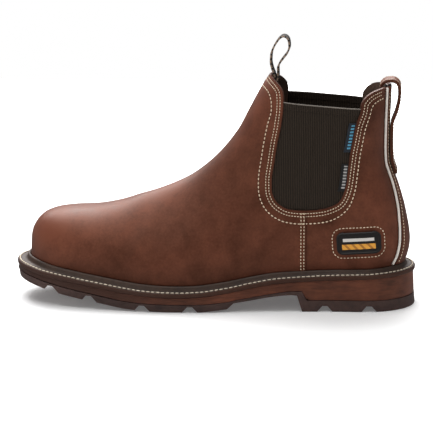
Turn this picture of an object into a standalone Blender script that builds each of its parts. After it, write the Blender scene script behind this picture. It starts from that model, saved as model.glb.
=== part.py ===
# Side gore work boot, left foot, standing empty on its sole.
# Toe towards -X, heel towards +X, lateral side towards -Y, up +Z, in metres.
# The origin is on the ground, below the middle of the sole.

import math
from collections import namedtuple

import bmesh
import bpy
import numpy as np

MM = 0.001

# Driving dimensions
BOOT_LENGTH = 310 * MM
BALL_WIDTH = 92.5 * MM
SHAFT_WIDTH = 69 * MM
PEAK_HEIGHT = 176 * MM
UPPER_WALL = 2.2 * MM
SIDE_BULGE = 3.0 * MM
BULGE_HEIGHT = 15 * MM
ANKLE_HEIGHT = 105 * MM
TOE_ROUND = 52 * MM
HEEL_ROUND = 30 * MM
COLLAR_ROUND = 34 * MM

# Sole
SOLE_STACK = 27.5 * MM
WELT_REACH = 9.8 * MM
WELT_THICKNESS = 3.4 * MM
RIM_THICKNESS = 2.6 * MM
RIM_HEIGHT_TOE = 4.2 * MM
RIM_HEIGHT_HEEL = 3.0 * MM
RIM_TAPER = 0.6 * MM
EDGE_ROUND = 0.7 * MM
INSOLE_THICKNESS = 4 * MM
CHANNEL_DEPTH = 4.2 * MM
CHANNEL_TOP = 4 * MM
CHANNEL_BOTTOM = 11.5 * MM
SPINE_WIDTH = 7 * MM
SPINE_DEPTH = 3 * MM
SOLE_EDGE_STEP = 1.0 * MM

# Gore, trim and pulls
GORE_THICKNESS = 1.5 * MM
GORE_RECESS = 0.5 * MM
BACKSTAY_THICKNESS = 1.3 * MM
BACKSTAY_TOP_WIDTH = 23 * MM
BACKSTAY_FOOT_WIDTH = 42 * MM
PIPING_DIAMETER = 1.9 * MM
BADGE_LENGTH = 33 * MM
BADGE_HEIGHT = 17 * MM
BADGE_THICKNESS = 1.6 * MM
TAB_THICKNESS = 0.8 * MM
STRAP_WIDTH = 20 * MM
STRAP_THICKNESS = 2.4 * MM
STRAP_TAIL = 20 * MM
LOOP_WIDTH = 15 * MM
LOOP_THICKNESS = 1.3 * MM
LOOP_RISE = 32 * MM
LOOP_TAIL = 14 * MM
STRAP_LOOP = 11 * MM
TAB_WIDTH = 4.8 * MM

# Clearances
FIT_GAP = 0.3 * MM
TRIM_GAP = 0.6 * MM

UPPER_LENGTH = BOOT_LENGTH - 2 * WELT_REACH
TOE_X = -UPPER_LENGTH / 2
HEEL_X = UPPER_LENGTH / 2
LATERAL = -1
MEDIAL = 1

# Side view of the front: along is a share of the upper's length from the toe,
# height a share of the peak's height.
Front = namedtuple("Front", "along height")
FRONT = [
    Front(0.0000, 0.130), Front(0.0045, 0.204), Front(0.0060, 0.251),
    Front(0.0076, 0.278), Front(0.0131, 0.310), Front(0.0296, 0.350),
    Front(0.0461, 0.370), Front(0.0789, 0.389), Front(0.1274, 0.400),
    Front(0.1760, 0.405), Front(0.2407, 0.425), Front(0.3054, 0.460),
    Front(0.3698, 0.497), Front(0.4342, 0.547), Front(0.4983, 0.628),
    Front(0.5616, 0.753), Front(0.5933, 0.851), Front(0.6250, 0.948),
    Front(0.6457, 1.000), Front(0.6600, 1.035),
]

# Side view of the back: out is a share of half the upper's length.
Back = namedtuple("Back", "height out")
BACK = [
    Back(0.130, 1.000), Back(0.192, 1.002), Back(0.219, 1.012),
    Back(0.251, 1.021), Back(0.282, 1.024), Back(0.326, 1.019),
    Back(0.375, 1.008), Back(0.428, 0.994), Back(0.486, 0.974),
    Back(0.539, 0.953), Back(0.582, 0.933), Back(0.636, 0.914),
    Back(0.710, 0.910), Back(0.801, 0.911), Back(0.886, 0.914),
    Back(1.000, 0.918),
]

# Plan of the lasted upper at its foot: half widths as shares of the ball width,
# and the shift of the middle line towards the medial side.
Foot = namedtuple("Foot", "along lateral medial shift")
FOOT = [
    Foot(0.000, 0.450, 0.450, 0.052), Foot(0.120, 0.445, 0.447, 0.042),
    Foot(0.225, 0.481, 0.465, 0.032), Foot(0.345, 0.519, 0.429, 0.019),
    Foot(0.466, 0.492, 0.324, 0.008), Foot(0.586, 0.424, 0.270, 0.000),
    Foot(0.707, 0.368, 0.281, 0.000), Foot(0.827, 0.335, 0.314, 0.000),
    Foot(1.000, 0.324, 0.319, 0.000),
]

# Roundness of the crown over the foot, and how deep it reaches from the ridge.
Crown = namedtuple("Crown", "along power depth")
CROWN = [
    Crown(0.00, 2.60, 0.300), Crown(0.20, 2.30, 0.300), Crown(0.36, 1.95, 0.290),
    Crown(0.45, 1.85, 0.275), Crown(0.55, 1.95, 0.240), Crown(0.66, 2.10, 0.215),
]

# Sole in side view: along is a share of the boot's length from the toe, the
# heights are shares of the sole's stack.
Stack = namedtuple("Stack", "along flange tread layer")
STACK = [
    Stack(0.000, 1.090, 0.618, 0.820), Stack(0.048, 1.030, 0.524, 0.736),
    Stack(0.084, 0.965, 0.451, 0.664), Stack(0.149, 0.865, 0.312, 0.527),
    Stack(0.229, 0.735, 0.175, 0.380), Stack(0.287, 0.640, 0.062, 0.270),
    Stack(0.348, 0.567, 0.018, 0.225), Stack(0.394, 0.540, 0.000, 0.210),
    Stack(0.430, 0.536, 0.000, 0.207), Stack(0.480, 0.564, 0.000, 0.214),
    Stack(0.508, 0.605, 0.033, 0.240), Stack(0.544, 0.665, 0.080, 0.280),
    Stack(0.560, 0.700, 0.244, 0.324), Stack(0.603, 0.800, 0.320, 0.400),
    Stack(0.656, 0.900, 0.422, 0.502), Stack(0.700, 0.940, 0.466, 0.556),
    Stack(0.7135, 0.950, 0.450, 0.560), Stack(0.726, 0.958, 0.000, 0.560),
    Stack(0.738, 0.965, 0.000, 0.302), Stack(0.790, 0.996, 0.000, 0.302),
    Stack(0.880, 1.029, 0.000, 0.302), Stack(0.941, 1.070, 0.000, 0.302),
    Stack(1.000, 1.095, 0.000, 0.302),
]

# Cross channels of the tread, as shares of the boot's length from the toe.
CHANNELS = [0.103, 0.202, 0.3355, 0.4535, 0.782, 0.890]

# Start and end of the channels along the middle of the forefoot and the heel.
SPINES = [(0.115, 0.500), (0.760, 0.955)]

# Collar line and gore opening in side view, from the front peak round the
# opening to the back: along and height are shares as in the front's table.
Edge = namedtuple("Edge", "along height")
PEAK_EDGE = [
    Edge(0.6440, 1.0040), Edge(0.6530, 0.9960), Edge(0.6610, 0.9850),
    Edge(0.6690, 0.9750), Edge(0.6760, 0.9640), Edge(0.6839, 0.9420), Edge(0.6866, 0.9159),
    Edge(0.6870, 0.8850),
]
GORE_EDGE = [
    Edge(0.6820, 0.8034), Edge(0.6722, 0.7170), Edge(0.6646, 0.6295),
    Edge(0.6594, 0.5642), Edge(0.6598, 0.5205), Edge(0.6677, 0.4818),
    Edge(0.6832, 0.4557), Edge(0.7070, 0.4386), Edge(0.7328, 0.4352),
    Edge(0.7590, 0.4358), Edge(0.7903, 0.4415), Edge(0.8161, 0.4551),
    Edge(0.8340, 0.4733), Edge(0.8444, 0.5040), Edge(0.8519, 0.5477),
    Edge(0.8564, 0.6131), Edge(0.8612, 0.6778), Edge(0.8685, 0.7432),
    Edge(0.8760, 0.8080),
]
QUARTER_EDGE = [
    Edge(0.8885, 0.8700), Edge(0.8898, 0.8937), Edge(0.8974, 0.9153),
    Edge(0.9101, 0.9347), Edge(0.9280, 0.9483), Edge(0.9487, 0.9551),
    Edge(0.9620, 0.9600), Edge(1.0600, 0.9640),
]
GORE_TOP_FRONT = 0.8980
GORE_TOP_MIDDLE = 0.8850
GORE_TOP_BACK = 0.8730

# Loop of the heel strap above the collar: out from the back line and up from
# the collar's back edge, as shares of the strap's loop. Join and foot are the
# ends of its outer leg, as shares of the peak's height.
LoopPoint = namedtuple("LoopPoint", "out up")
STRAP_ARCH = [
    LoopPoint(-0.50, -0.50), LoopPoint(-0.50, -0.06), LoopPoint(-0.34, 0.18),
    LoopPoint(-0.08, 0.30), LoopPoint(0.24, 0.32), LoopPoint(0.56, 0.17),
    LoopPoint(0.71, -0.16), LoopPoint(0.73, -0.62), LoopPoint(0.68, -1.15),
    LoopPoint(0.54, -1.80),
]
STRAP_JOIN = 0.785
STRAP_FOOT = 0.568

# Front webbing loop: forward and up from the peak's inner face.
LOOP_ARCH = [
    LoopPoint(0.00, 0.00), LoopPoint(-0.02, 0.10), LoopPoint(-0.06, 0.20),
    LoopPoint(-0.10, 0.39), LoopPoint(-0.09, 0.56), LoopPoint(-0.04, 0.71),
    LoopPoint(0.04, 0.85), LoopPoint(0.12, 0.95), LoopPoint(0.20, 0.99),
    LoopPoint(0.27, 0.965), LoopPoint(0.325, 0.88), LoopPoint(0.34, 0.75),
    LoopPoint(0.30, 0.61), LoopPoint(0.20, 0.47), LoopPoint(0.11, 0.34),
    LoopPoint(0.07, 0.23), LoopPoint(0.055, 0.10),
]

# Badge: middle along and height, tilt in degrees, corner as a share of its height.
BADGE_ALONG = 0.886
BADGE_MIDDLE = 0.297
BADGE_TILT = -3.5
BADGE_CORNER = 0.28

# Woven tabs on the gore's rear edge: foot and top as shares of the peak's height.
Tab = namedtuple("Tab", "name foot top")
TABS = [Tab("gore_tab_upper", 0.690, 0.815), Tab("gore_tab_lower", 0.520, 0.640)]

# Ends of the last: roundness of the toe and heel in plan, and the shares along
# the upper between which the crown starts to follow the front line.
END_POWER = 2.1
CROWN_FOOT_END = 0.26
CROWN_SHAFT_START = 0.45

# Where the collar's cutter starts along the upper, and how far it reaches past it.
CUT_START = 0.61
CUT_TOP = 1.2
CUT_SHOULDER = 1.02
CUT_BACK = 1.1

# Counts of rows and columns
FRONT_POINTS = 260
SLICE_COUNT = 42
SLICE_POINTS = 13
RIM_POINTS = 80
GORE_ROWS = 15
GORE_COLUMNS = 9
BACKSTAY_ROWS = 17
BACKSTAY_COLUMNS = 9
PIPING_POINTS = 19
STRAP_POINTS = 44
LOOP_POINTS = 46
TAB_ROWS = 6
TAB_COLUMNS = 4
BADGE_COLUMNS = 9
WELT_STATIONS = 44
INSOLE_STATIONS = 34
SOLE_STATIONS = 40
OUTLINE_STATIONS = 240

LEATHER = (0.155, 0.048, 0.026, 1.0)
DARK_RUBBER = (0.020, 0.014, 0.013, 1.0)
BURNISHED = (0.110, 0.038, 0.026, 1.0)
WELT_BROWN = (0.035, 0.024, 0.017, 1.0)
CHARCOAL = (0.030, 0.026, 0.023, 1.0)
BEAD_GREY = (0.520, 0.470, 0.420, 1.0)
BOARD = (0.060, 0.045, 0.035, 1.0)
WEBBING = (0.025, 0.022, 0.020, 1.0)


def smooth_rise(low, high, value):
    share = np.clip((value - low) / (high - low), 0.0, 1.0)
    return share * share * (3 - 2 * share)


def curve_through(keys, values):
    # Cubic curve through the points that never swings past them.
    keys = np.asarray(keys, float)
    values = np.asarray(values, float)
    step = np.diff(keys)
    rise = np.diff(values) / step
    slope = np.zeros(len(keys))
    slope[0], slope[-1] = rise[0], rise[-1]
    inner = (rise[:-1] * rise[1:]) > 0
    before, after = rise[:-1][inner], rise[1:][inner]
    slope[1:-1][inner] = 2 * before * after / (before + after)

    def read(at):
        at = np.clip(np.asarray(at, float), keys[0], keys[-1])
        cell = np.clip(np.searchsorted(keys, at) - 1, 0, len(step) - 1)
        t = (at - keys[cell]) / step[cell]
        return (
            values[cell] * (1 + 2 * t) * (1 - t) ** 2
            + slope[cell] * step[cell] * t * (1 - t) ** 2
            + values[cell + 1] * t * t * (3 - 2 * t)
            + slope[cell + 1] * step[cell] * t * t * (t - 1)
        )

    return read


def column(table, name):
    return [getattr(row, name) for row in table]


def upper_x(along):
    return TOE_X + UPPER_LENGTH * np.asarray(along, float)


def sole_x(along):
    return BOOT_LENGTH * (np.asarray(along, float) - 0.5)


def smooth_line(points, count):
    # A rounded line through points, evenly spaced along its length.
    points = np.asarray(points, float)
    run = np.r_[0, np.cumsum(np.linalg.norm(np.diff(points, axis=0), axis=1))]
    fine = np.linspace(0, run[-1], count * 8)
    dense = np.column_stack([curve_through(run, points[:, k])(fine) for k in range(2)])
    run = np.r_[0, np.cumsum(np.linalg.norm(np.diff(dense, axis=0), axis=1))]
    even = np.linspace(0, run[-1], count)
    return np.column_stack([np.interp(even, run, dense[:, k]) for k in range(2)])


FRONT_LINE = smooth_line(
    np.column_stack([
        upper_x(column(FRONT, "along")), PEAK_HEIGHT * np.array(column(FRONT, "height"))
    ]), FRONT_POINTS)
front_crest = curve_through(column(FRONT, "along"), column(FRONT, "height"))
back_out = curve_through(column(BACK, "height"), column(BACK, "out"))
foot_lateral = curve_through(column(FOOT, "along"), column(FOOT, "lateral"))
foot_medial = curve_through(column(FOOT, "along"), column(FOOT, "medial"))
foot_shift = curve_through(column(FOOT, "along"), column(FOOT, "shift"))
crown_power = curve_through(column(CROWN, "along"), column(CROWN, "power"))
crown_depth = curve_through(column(CROWN, "along"), column(CROWN, "depth"))
stack_flange = curve_through(column(STACK, "along"), column(STACK, "flange"))
stack_tread = curve_through(column(STACK, "along"), column(STACK, "tread"))
stack_layer = curve_through(column(STACK, "along"), column(STACK, "layer"))


def flange_top(x):
    return SOLE_STACK * stack_flange(x / BOOT_LENGTH + 0.5)


def foot_height(x):
    # Height of the upper's bottom edge, which stands inside the welt.
    return flange_top(x) - WELT_THICKNESS


def back_x(height):
    return HEEL_X * back_out(height / PEAK_HEIGHT)


def toe_x(height):
    return np.interp(height, FRONT_LINE[:, 1], FRONT_LINE[:, 0])


def crest_height(x):
    return PEAK_HEIGHT * front_crest((x - TOE_X) / UPPER_LENGTH)


def middle_y(x):
    return BALL_WIDTH * foot_shift((x - TOE_X) / UPPER_LENGTH)


def rounding(distance, reach):
    short = 1 - np.clip(distance / reach, 0.0, 1.0)
    return (1 - short ** END_POWER) ** (1 / END_POWER)


def front_distance(x, z):
    # Distance to the front line, and where along the boot it is met.
    flat = np.column_stack([np.ravel(x), np.ravel(z)])
    gaps = np.linalg.norm(flat[:, None, :] - FRONT_LINE[None, :, :], axis=2)
    near = gaps.argmin(axis=1)
    shape = np.shape(x)
    along = (FRONT_LINE[near, 0] - TOE_X) / UPPER_LENGTH
    return gaps.min(axis=1).reshape(shape), along.reshape(shape)


def half_width(x, z, side):
    # Half width of the upper's outer face from its middle line, the form of
    # the last: foot plan, side bulge, crown, shaft and rounded ends.
    x, z = np.broadcast_arrays(np.asarray(x, float), np.asarray(z, float))
    along = (x - TOE_X) / UPPER_LENGTH
    plan = foot_lateral(along) if side == LATERAL else foot_medial(along)
    foot = foot_height(x)
    bulge_top = foot + BULGE_HEIGHT
    low = BALL_WIDTH * plan + SIDE_BULGE * smooth_rise(foot, bulge_top, z)
    lean = smooth_rise(bulge_top, np.maximum(ANKLE_HEIGHT, bulge_top + MM), z)
    width = low + (SHAFT_WIDTH / 2 - low) * lean
    crest = crest_height(x)
    over_foot = (z - bulge_top) / np.maximum(crest - bulge_top, 0.1 * MM)
    gap, met = front_distance(x, z)
    over_shaft = 1 - gap / (PEAK_HEIGHT * crown_depth(met))
    blend = smooth_rise(CROWN_FOOT_END, CROWN_SHAFT_START, along)
    rise = np.clip(over_foot * (1 - blend) + over_shaft * blend, 0.0, 1.0)
    power = crown_power(along)
    crown = (1 - rise ** power) ** (1 / power)
    toe = rounding(x - toe_x(np.minimum(z, bulge_top)), TOE_ROUND)
    reach = HEEL_ROUND + (COLLAR_ROUND - HEEL_ROUND) * smooth_rise(
        foot, ANKLE_HEIGHT, z)
    heel = rounding(back_x(z) - x, reach)
    return width * crown * toe * heel


def side_y(x, z, side):
    return middle_y(x) + side * half_width(x, z, side)


def new_object(name, mesh, color, roughness, collection, metallic=0.0):
    made = bpy.data.objects.new(name, mesh)
    collection.objects.link(made)
    material = bpy.data.materials.new(name)
    material.use_nodes = True
    shader = material.node_tree.nodes["Principled BSDF"]
    shader.inputs["Base Color"].default_value = color
    shader.inputs["Roughness"].default_value = roughness
    shader.inputs["Metallic"].default_value = metallic
    made.data.materials.append(material)
    return made


def tidy_mesh(form, name, smooth_angle=35):
    bmesh.ops.remove_doubles(form, verts=form.verts, dist=0.001 * MM)
    bmesh.ops.dissolve_degenerate(form, edges=form.edges, dist=0.001 * MM)
    bmesh.ops.recalc_face_normals(form, faces=form.faces)
    mesh = bpy.data.meshes.new(name)
    form.to_mesh(mesh)
    form.free()
    mesh.shade_smooth()
    mesh.set_sharp_from_angle(angle=math.radians(smooth_angle))
    return mesh


def skin(form, grid):
    # Faces over a grid of points, row by row.
    rows = [[form.verts.new(point) for point in row] for row in grid]
    for first, second in zip(rows, rows[1:]):
        for k in range(len(first) - 1):
            form.faces.new((first[k], first[k + 1], second[k + 1], second[k]))
    return rows


def closed_loft(form, rings):
    # Faces between closed rings of equal count, in a closed chain.
    rows = [[form.verts.new(point) for point in ring] for ring in rings]
    count = len(rows[0])
    for first, second in zip(rows, rows[1:] + rows[:1]):
        for k in range(count):
            after = (k + 1) % count
            form.faces.new((first[k], first[after], second[after], second[k]))


def difference(target, cutter):
    cut = target.modifiers.new("cut_" + cutter.name, "BOOLEAN")
    cut.operation = "DIFFERENCE"
    cut.solver = "EXACT"
    cut.object = cutter


def prism_cutter(name, outline, half_span, collection):
    # A side-view outline drawn across the whole boot.
    form = bmesh.new()
    ring = [form.verts.new((x, -half_span, z)) for x, z in outline]
    face = form.faces.new(ring)
    drawn = bmesh.ops.extrude_face_region(form, geom=[face])
    moved = [item for item in drawn["geom"] if isinstance(item, bmesh.types.BMVert)]
    bmesh.ops.translate(form, verts=moved, vec=(0, 2 * half_span, 0))
    cutter = bpy.data.objects.new(name, tidy_mesh(form, name))
    collection.objects.link(cutter)
    cutter.hide_render = True
    cutter.display_type = "WIRE"
    return cutter


# Slices of the upper from the ridge down to the foot line, then on up the
# back line: ridge is a share along the front, foot a share along the foot
# line up to 1 and, past 1, a share up the back.
Slice = namedtuple("Slice", "ridge foot")
SLICES = [
    Slice(0.0076, 0.000), Slice(0.0105, 0.008), Slice(0.0200, 0.024),
    Slice(0.0461, 0.050), Slice(0.0789, 0.088), Slice(0.1274, 0.138),
    Slice(0.1760, 0.195), Slice(0.2407, 0.275), Slice(0.3054, 0.370),
    Slice(0.3698, 0.480), Slice(0.4342, 0.610), Slice(0.4800, 0.760),
    Slice(0.5100, 0.900), Slice(0.5250, 0.975), Slice(0.5350, 1.000),
    Slice(0.5530, 1.160), Slice(0.5750, 1.360), Slice(0.5933, 1.540),
    Slice(0.6250, 1.800), Slice(0.6600, 2.000),
]


def upper_half(side):
    steps = np.arange(len(SLICES))
    at = np.linspace(0, len(SLICES) - 1, SLICE_COUNT)
    ridge = upper_x(curve_through(steps, column(SLICES, "ridge"))(at))
    foot = curve_through(steps, column(SLICES, "foot"))(at)
    spread = 0.5 - 0.5 * np.cos(np.linspace(0, math.pi, SLICE_POINTS))
    low_back = foot_height(HEEL_X)
    grid = []
    for number in range(SLICE_COUNT):
        top = np.array([ridge[number], crest_height(ridge[number])])
        if foot[number] <= 1:
            foot_x = upper_x(foot[number])
            low = np.array([foot_x, foot_height(foot_x)])
        else:
            height = low_back + (PEAK_HEIGHT - low_back) * (foot[number] - 1)
            low = np.array([back_x(height), height])
        line = top + (low - top) * spread[:, None]
        if number == 0:
            line[:, 0] = toe_x(line[:, 1])
            y = middle_y(line[:, 0])
        else:
            y = side_y(line[:, 0], line[:, 1], side)
            y[0] = middle_y(line[0, 0])
            if foot[number] >= 1:
                y[-1] = middle_y(line[-1, 0])
        grid.append([(x, float(across), z) for (x, z), across in zip(line, y)])
    return grid


def edge_points(table):
    return [
        (float(upper_x(row.along)), PEAK_HEIGHT * row.height) for row in table
    ]


def opening_line():
    # The whole rim in side view, from the peak round the gore to the back.
    return smooth_line(edge_points(PEAK_EDGE + GORE_EDGE + QUARTER_EDGE), RIM_POINTS)


def make_upper(parts, cutters):
    form = bmesh.new()
    for side in (LATERAL, MEDIAL):
        skin(form, upper_half(side))
    upper = new_object("upper", tidy_mesh(form, "upper", 50), LEATHER, 0.45, parts)
    wall = upper.modifiers.new("wall", "SOLIDIFY")
    wall.thickness = UPPER_WALL
    wall.offset = -1
    wall.use_even_offset = True
    outline = opening_line().tolist()
    sky = PEAK_HEIGHT * CUT_TOP
    start = float(upper_x(CUT_START))
    outline += [(HEEL_X * CUT_BACK, sky), (start, sky), (start, PEAK_HEIGHT * CUT_SHOULDER)]
    difference(upper, prism_cutter("collar_cutter", outline, SHAFT_WIDTH, cutters))
    return upper


def gore_limits(height):
    # The opening's front and back edge at a height, drawn in by the gap.
    edge = opening_line()
    low = edge[:, 1].argmin()
    front = np.interp(height, edge[:low + 1, 1][::-1], edge[:low + 1, 0][::-1])
    back = np.interp(height, edge[low:, 1], edge[low:, 0])
    return front, back


def patch(name, rows, side, lift, thickness, color, roughness, parts):
    # A plate over the upper's outer face: rows of (x, z) points, raised by
    # lift along the face's normal.
    rows = np.asarray(rows, float)
    x, z = rows[..., 0], rows[..., 1]
    tiny = 0.2 * MM
    surface = np.stack([x, side_y(x, z, side), z], axis=-1)
    along = np.stack([
        np.full_like(x, 2 * tiny),
        side_y(x + tiny, z, side) - side_y(x - tiny, z, side),
        np.zeros_like(x)], axis=-1)
    up = np.stack([
        np.zeros_like(x),
        side_y(x, z + tiny, side) - side_y(x, z - tiny, side),
        np.full_like(x, 2 * tiny)], axis=-1)
    return plate(name, surface, along, up, side, lift, thickness, color, roughness, parts)


def plate(name, surface, along, up, side, lift, thickness, color, roughness, parts):
    normal = np.cross(along, up)
    normal /= np.linalg.norm(normal, axis=-1, keepdims=True)
    if side == MEDIAL:
        normal = -normal
    form = bmesh.new()
    inner = skin(form, surface + normal * lift)
    outer = skin(form, surface + normal * (lift + thickness))
    low, high = border(inner), border(outer)
    for k in range(len(low)):
        after = (k + 1) % len(low)
        form.faces.new((low[k], low[after], high[after], high[k]))
    return new_object(name, tidy_mesh(form, name), color, roughness, parts)


def border(rows):
    first, last = rows[0], rows[-1]
    right = [row[-1] for row in rows[1:-1]]
    left = [row[0] for row in rows[1:-1]]
    return first + right + last[::-1] + left[::-1]


def make_gore(name, side, parts):
    # Rows crowd towards the round bottom; the upper ones sag with the top edge.
    edge = edge_points(GORE_EDGE)
    low = min(height for _, height in edge) + 2 * FIT_GAP
    front_top = PEAK_HEIGHT * GORE_TOP_FRONT
    crowding = 1.6
    sag_power = 3
    part = np.linspace(0, 1, GORE_COLUMNS)
    sag = (GORE_TOP_FRONT - GORE_TOP_BACK) * part
    sag += (GORE_TOP_FRONT + GORE_TOP_BACK - 2 * GORE_TOP_MIDDLE) * 2 * part * (1 - part)
    rows = []
    for share in np.linspace(0, 1, GORE_ROWS) ** crowding:
        height = low + (front_top - low) * share
        heights = height - PEAK_HEIGHT * sag * share ** sag_power
        front, back = gore_limits(heights[0])[0], gore_limits(heights[-1])[1]
        across = np.linspace(front + FIT_GAP, back - FIT_GAP, GORE_COLUMNS)
        rows.append(list(zip(across.tolist(), heights.tolist())))
    depth = -GORE_RECESS - GORE_THICKNESS
    return patch(name, rows, side, depth, GORE_THICKNESS, CHARCOAL, 0.9, parts)


def back_point(y, z):
    # A point on the upper's back, found by halving from its distance to the
    # middle line.
    halvings = 40
    far = back_x(z) - max(HEEL_ROUND, COLLAR_ROUND)
    near = back_x(z)
    side = LATERAL if y < 0 else MEDIAL
    for _ in range(halvings):
        x = (far + near) / 2
        if half_width(x, z, side) > abs(y):
            far = x
        else:
            near = x
    return (far + near) / 2


def rim_height(x):
    return RIM_HEIGHT_TOE + (RIM_HEIGHT_HEEL - RIM_HEIGHT_TOE) * smooth_rise(0, HEEL_X, x)


def backstay_foot():
    return float(flange_top(HEEL_X) + rim_height(HEEL_X) + TRIM_GAP)


def collar_back():
    return PEAK_HEIGHT * QUARTER_EDGE[-2].height


def backstay_half(height):
    rise = smooth_rise(backstay_foot(), ANKLE_HEIGHT, height)
    return (BACKSTAY_FOOT_WIDTH + (BACKSTAY_TOP_WIDTH - BACKSTAY_FOOT_WIDTH) * rise) / 2


def back_frame(y, z):
    # Place on the upper's back with its outward normal.
    tiny = 0.5 * MM
    here = np.array([back_point(y, z), y, z])
    aside = np.array([back_point(y + tiny, z), y + tiny, z]) - here
    above = np.array([back_point(y, z + tiny), y, z + tiny]) - here
    normal = np.cross(aside, above)
    return here, normal / np.linalg.norm(normal)


def make_backstay(parts):
    heights = np.linspace(backstay_foot(), collar_back() - TRIM_GAP, BACKSTAY_ROWS)
    form = bmesh.new()
    layers = []
    for lift in (TRIM_GAP, TRIM_GAP + BACKSTAY_THICKNESS):
        grid = []
        for height in heights:
            half = backstay_half(height)
            row = []
            for y in np.linspace(-half, half, BACKSTAY_COLUMNS):
                here, normal = back_frame(y, height)
                row.append(here + normal * lift)
            grid.append(row)
        layers.append(border(skin(form, grid)))
    low, high = layers
    for k in range(len(low)):
        after = (k + 1) % len(low)
        form.faces.new((low[k], low[after], high[after], high[k]))
    return new_object("backstay", tidy_mesh(form, "backstay"), LEATHER, 0.45, parts)


def curve_tube(name, points, radius, color, roughness, parts):
    # A round bead along points, as a mesh with welded caps.
    line = bpy.data.curves.new(name + "_line", "CURVE")
    line.dimensions = "3D"
    line.bevel_depth = radius
    line.bevel_resolution = 2
    line.use_fill_caps = True
    spline = line.splines.new("POLY")
    spline.points.add(len(points) - 1)
    for knot, point in zip(spline.points, points):
        knot.co = (*point, 1.0)
    holder = bpy.data.objects.new(name + "_line", line)
    parts.objects.link(holder)
    bpy.context.view_layer.update()
    graph = bpy.context.evaluated_depsgraph_get()
    drawn = bpy.data.meshes.new_from_object(holder.evaluated_get(graph))
    form = bmesh.new()
    form.from_mesh(drawn)
    bpy.data.objects.remove(holder)
    return new_object(name, tidy_mesh(form, name), color, roughness, parts)


def make_piping(name, side, parts):
    radius = PIPING_DIAMETER / 2
    low, high = backstay_foot() + TRIM_GAP, collar_back() - 2 * TRIM_GAP
    points = []
    for height in np.linspace(low, high, PIPING_POINTS):
        y = side * (backstay_half(height) + TRIM_GAP + radius)
        here, normal = back_frame(y, height)
        points.append(here + normal * (radius + TRIM_GAP))
    return curve_tube(name, points, radius, BEAD_GREY, 0.5, parts)


def ribbon(name, path, width, thickness, color, roughness, parts):
    # A flat band of even width that follows a line in the side view.
    path = np.asarray(path, float)
    ahead = np.gradient(path, axis=0)
    ahead /= np.linalg.norm(ahead, axis=1, keepdims=True)
    off = np.column_stack([-ahead[:, 1], ahead[:, 0]]) * thickness / 2
    form = bmesh.new()
    rings = []
    for middle, shift in zip(path, off):
        corners = []
        for sign, y in ((-1, -1), (-1, 1), (1, 1), (1, -1)):
            x, z = middle + sign * shift
            corners.append(form.verts.new((x, y * width / 2, z)))
        rings.append(corners)
    for first, second in zip(rings, rings[1:]):
        for k in range(4):
            after = (k + 1) % 4
            form.faces.new((first[k], first[after], second[after], second[k]))
    form.faces.new(rings[0])
    form.faces.new(rings[-1])
    return new_object(name, tidy_mesh(form, name, 50), color, roughness, parts)


def make_heel_strap(parts):
    top = collar_back()
    back = float(back_x(top))
    hollow = (STRAP_WIDTH / 2) ** 2 / (2 * (COLLAR_ROUND - UPPER_WALL))
    inner = back - UPPER_WALL - TRIM_GAP - hollow - STRAP_THICKNESS / 2
    arch = [
        (back + STRAP_LOOP * row.out, top + STRAP_LOOP * row.up) for row in STRAP_ARCH
    ]
    arch[0] = (inner, arch[0][1])
    arch[1] = (inner, arch[1][1])
    tail = [(inner, top - STRAP_TAIL)]
    seat = TRIM_GAP + BACKSTAY_THICKNESS + FIT_GAP + STRAP_THICKNESS / 2
    leg = []
    for height in np.linspace(STRAP_JOIN, STRAP_FOOT, 8) * PEAK_HEIGHT:
        here, normal = back_frame(0.0, height)
        spot = here + normal * seat
        leg.append((spot[0], spot[2]))
    path = smooth_line(tail + arch + leg, STRAP_POINTS)
    return ribbon("heel_pull_strap", path, STRAP_WIDTH, STRAP_THICKNESS, LEATHER, 0.45, parts)


def make_front_loop(parts):
    # Both tails lie one on the other inside the front peak.
    below, top = FRONT[-3], FRONT[-2]
    slope = np.array([
        UPPER_LENGTH * (top.along - below.along), PEAK_HEIGHT * (top.height - below.height)])
    slope /= np.linalg.norm(slope)
    inward = np.array([slope[1], -slope[0]])
    peak = np.array([float(upper_x(top.along)), PEAK_HEIGHT * top.height])
    sagitta = (LOOP_WIDTH / 2) ** 2 / SHAFT_WIDTH
    first = peak + inward * (UPPER_WALL + 2 * TRIM_GAP + sagitta + LOOP_THICKNESS / 2)
    second = first + inward * (LOOP_THICKNESS + FIT_GAP)
    arch = [
        (first[0] + LOOP_RISE * row.out, first[1] + LOOP_RISE * row.up) for row in LOOP_ARCH
    ]
    lower_first = first - slope * LOOP_TAIL
    lower_second = second - slope * LOOP_TAIL
    arch[-1] = tuple(second + slope * 2 * MM)
    path = smooth_line([tuple(lower_first)] + arch + [tuple(lower_second)], LOOP_POINTS)
    return ribbon("front_pull_loop", path, LOOP_WIDTH, LOOP_THICKNESS, WEBBING, 0.8, parts)


def make_badge(parts):
    tilt = math.radians(BADGE_TILT)
    middle_x = float(upper_x(BADGE_ALONG))
    middle_z = PEAK_HEIGHT * BADGE_MIDDLE
    corner = BADGE_CORNER * BADGE_HEIGHT
    round_rows = (0.78, 0.93, 1.0)
    shares = [-share for share in round_rows[::-1]] + [-0.4, 0, 0.4] + list(round_rows)
    rows = []
    for share in shares:
        up = share * BADGE_HEIGHT / 2
        into = max(abs(up) - (BADGE_HEIGHT / 2 - corner), 0)
        half = BADGE_LENGTH / 2 - corner + math.sqrt(max(corner ** 2 - into ** 2, 0))
        row = []
        for part in np.linspace(-1, 1, BADGE_COLUMNS):
            along = part * half
            row.append((
                middle_x + along * math.cos(tilt) + up * math.sin(tilt),
                middle_z - along * math.sin(tilt) + up * math.cos(tilt)))
        rows.append(row)
    return patch("badge", rows, LATERAL, TRIM_GAP, BADGE_THICKNESS, DARK_RUBBER, 0.5, parts)


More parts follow.
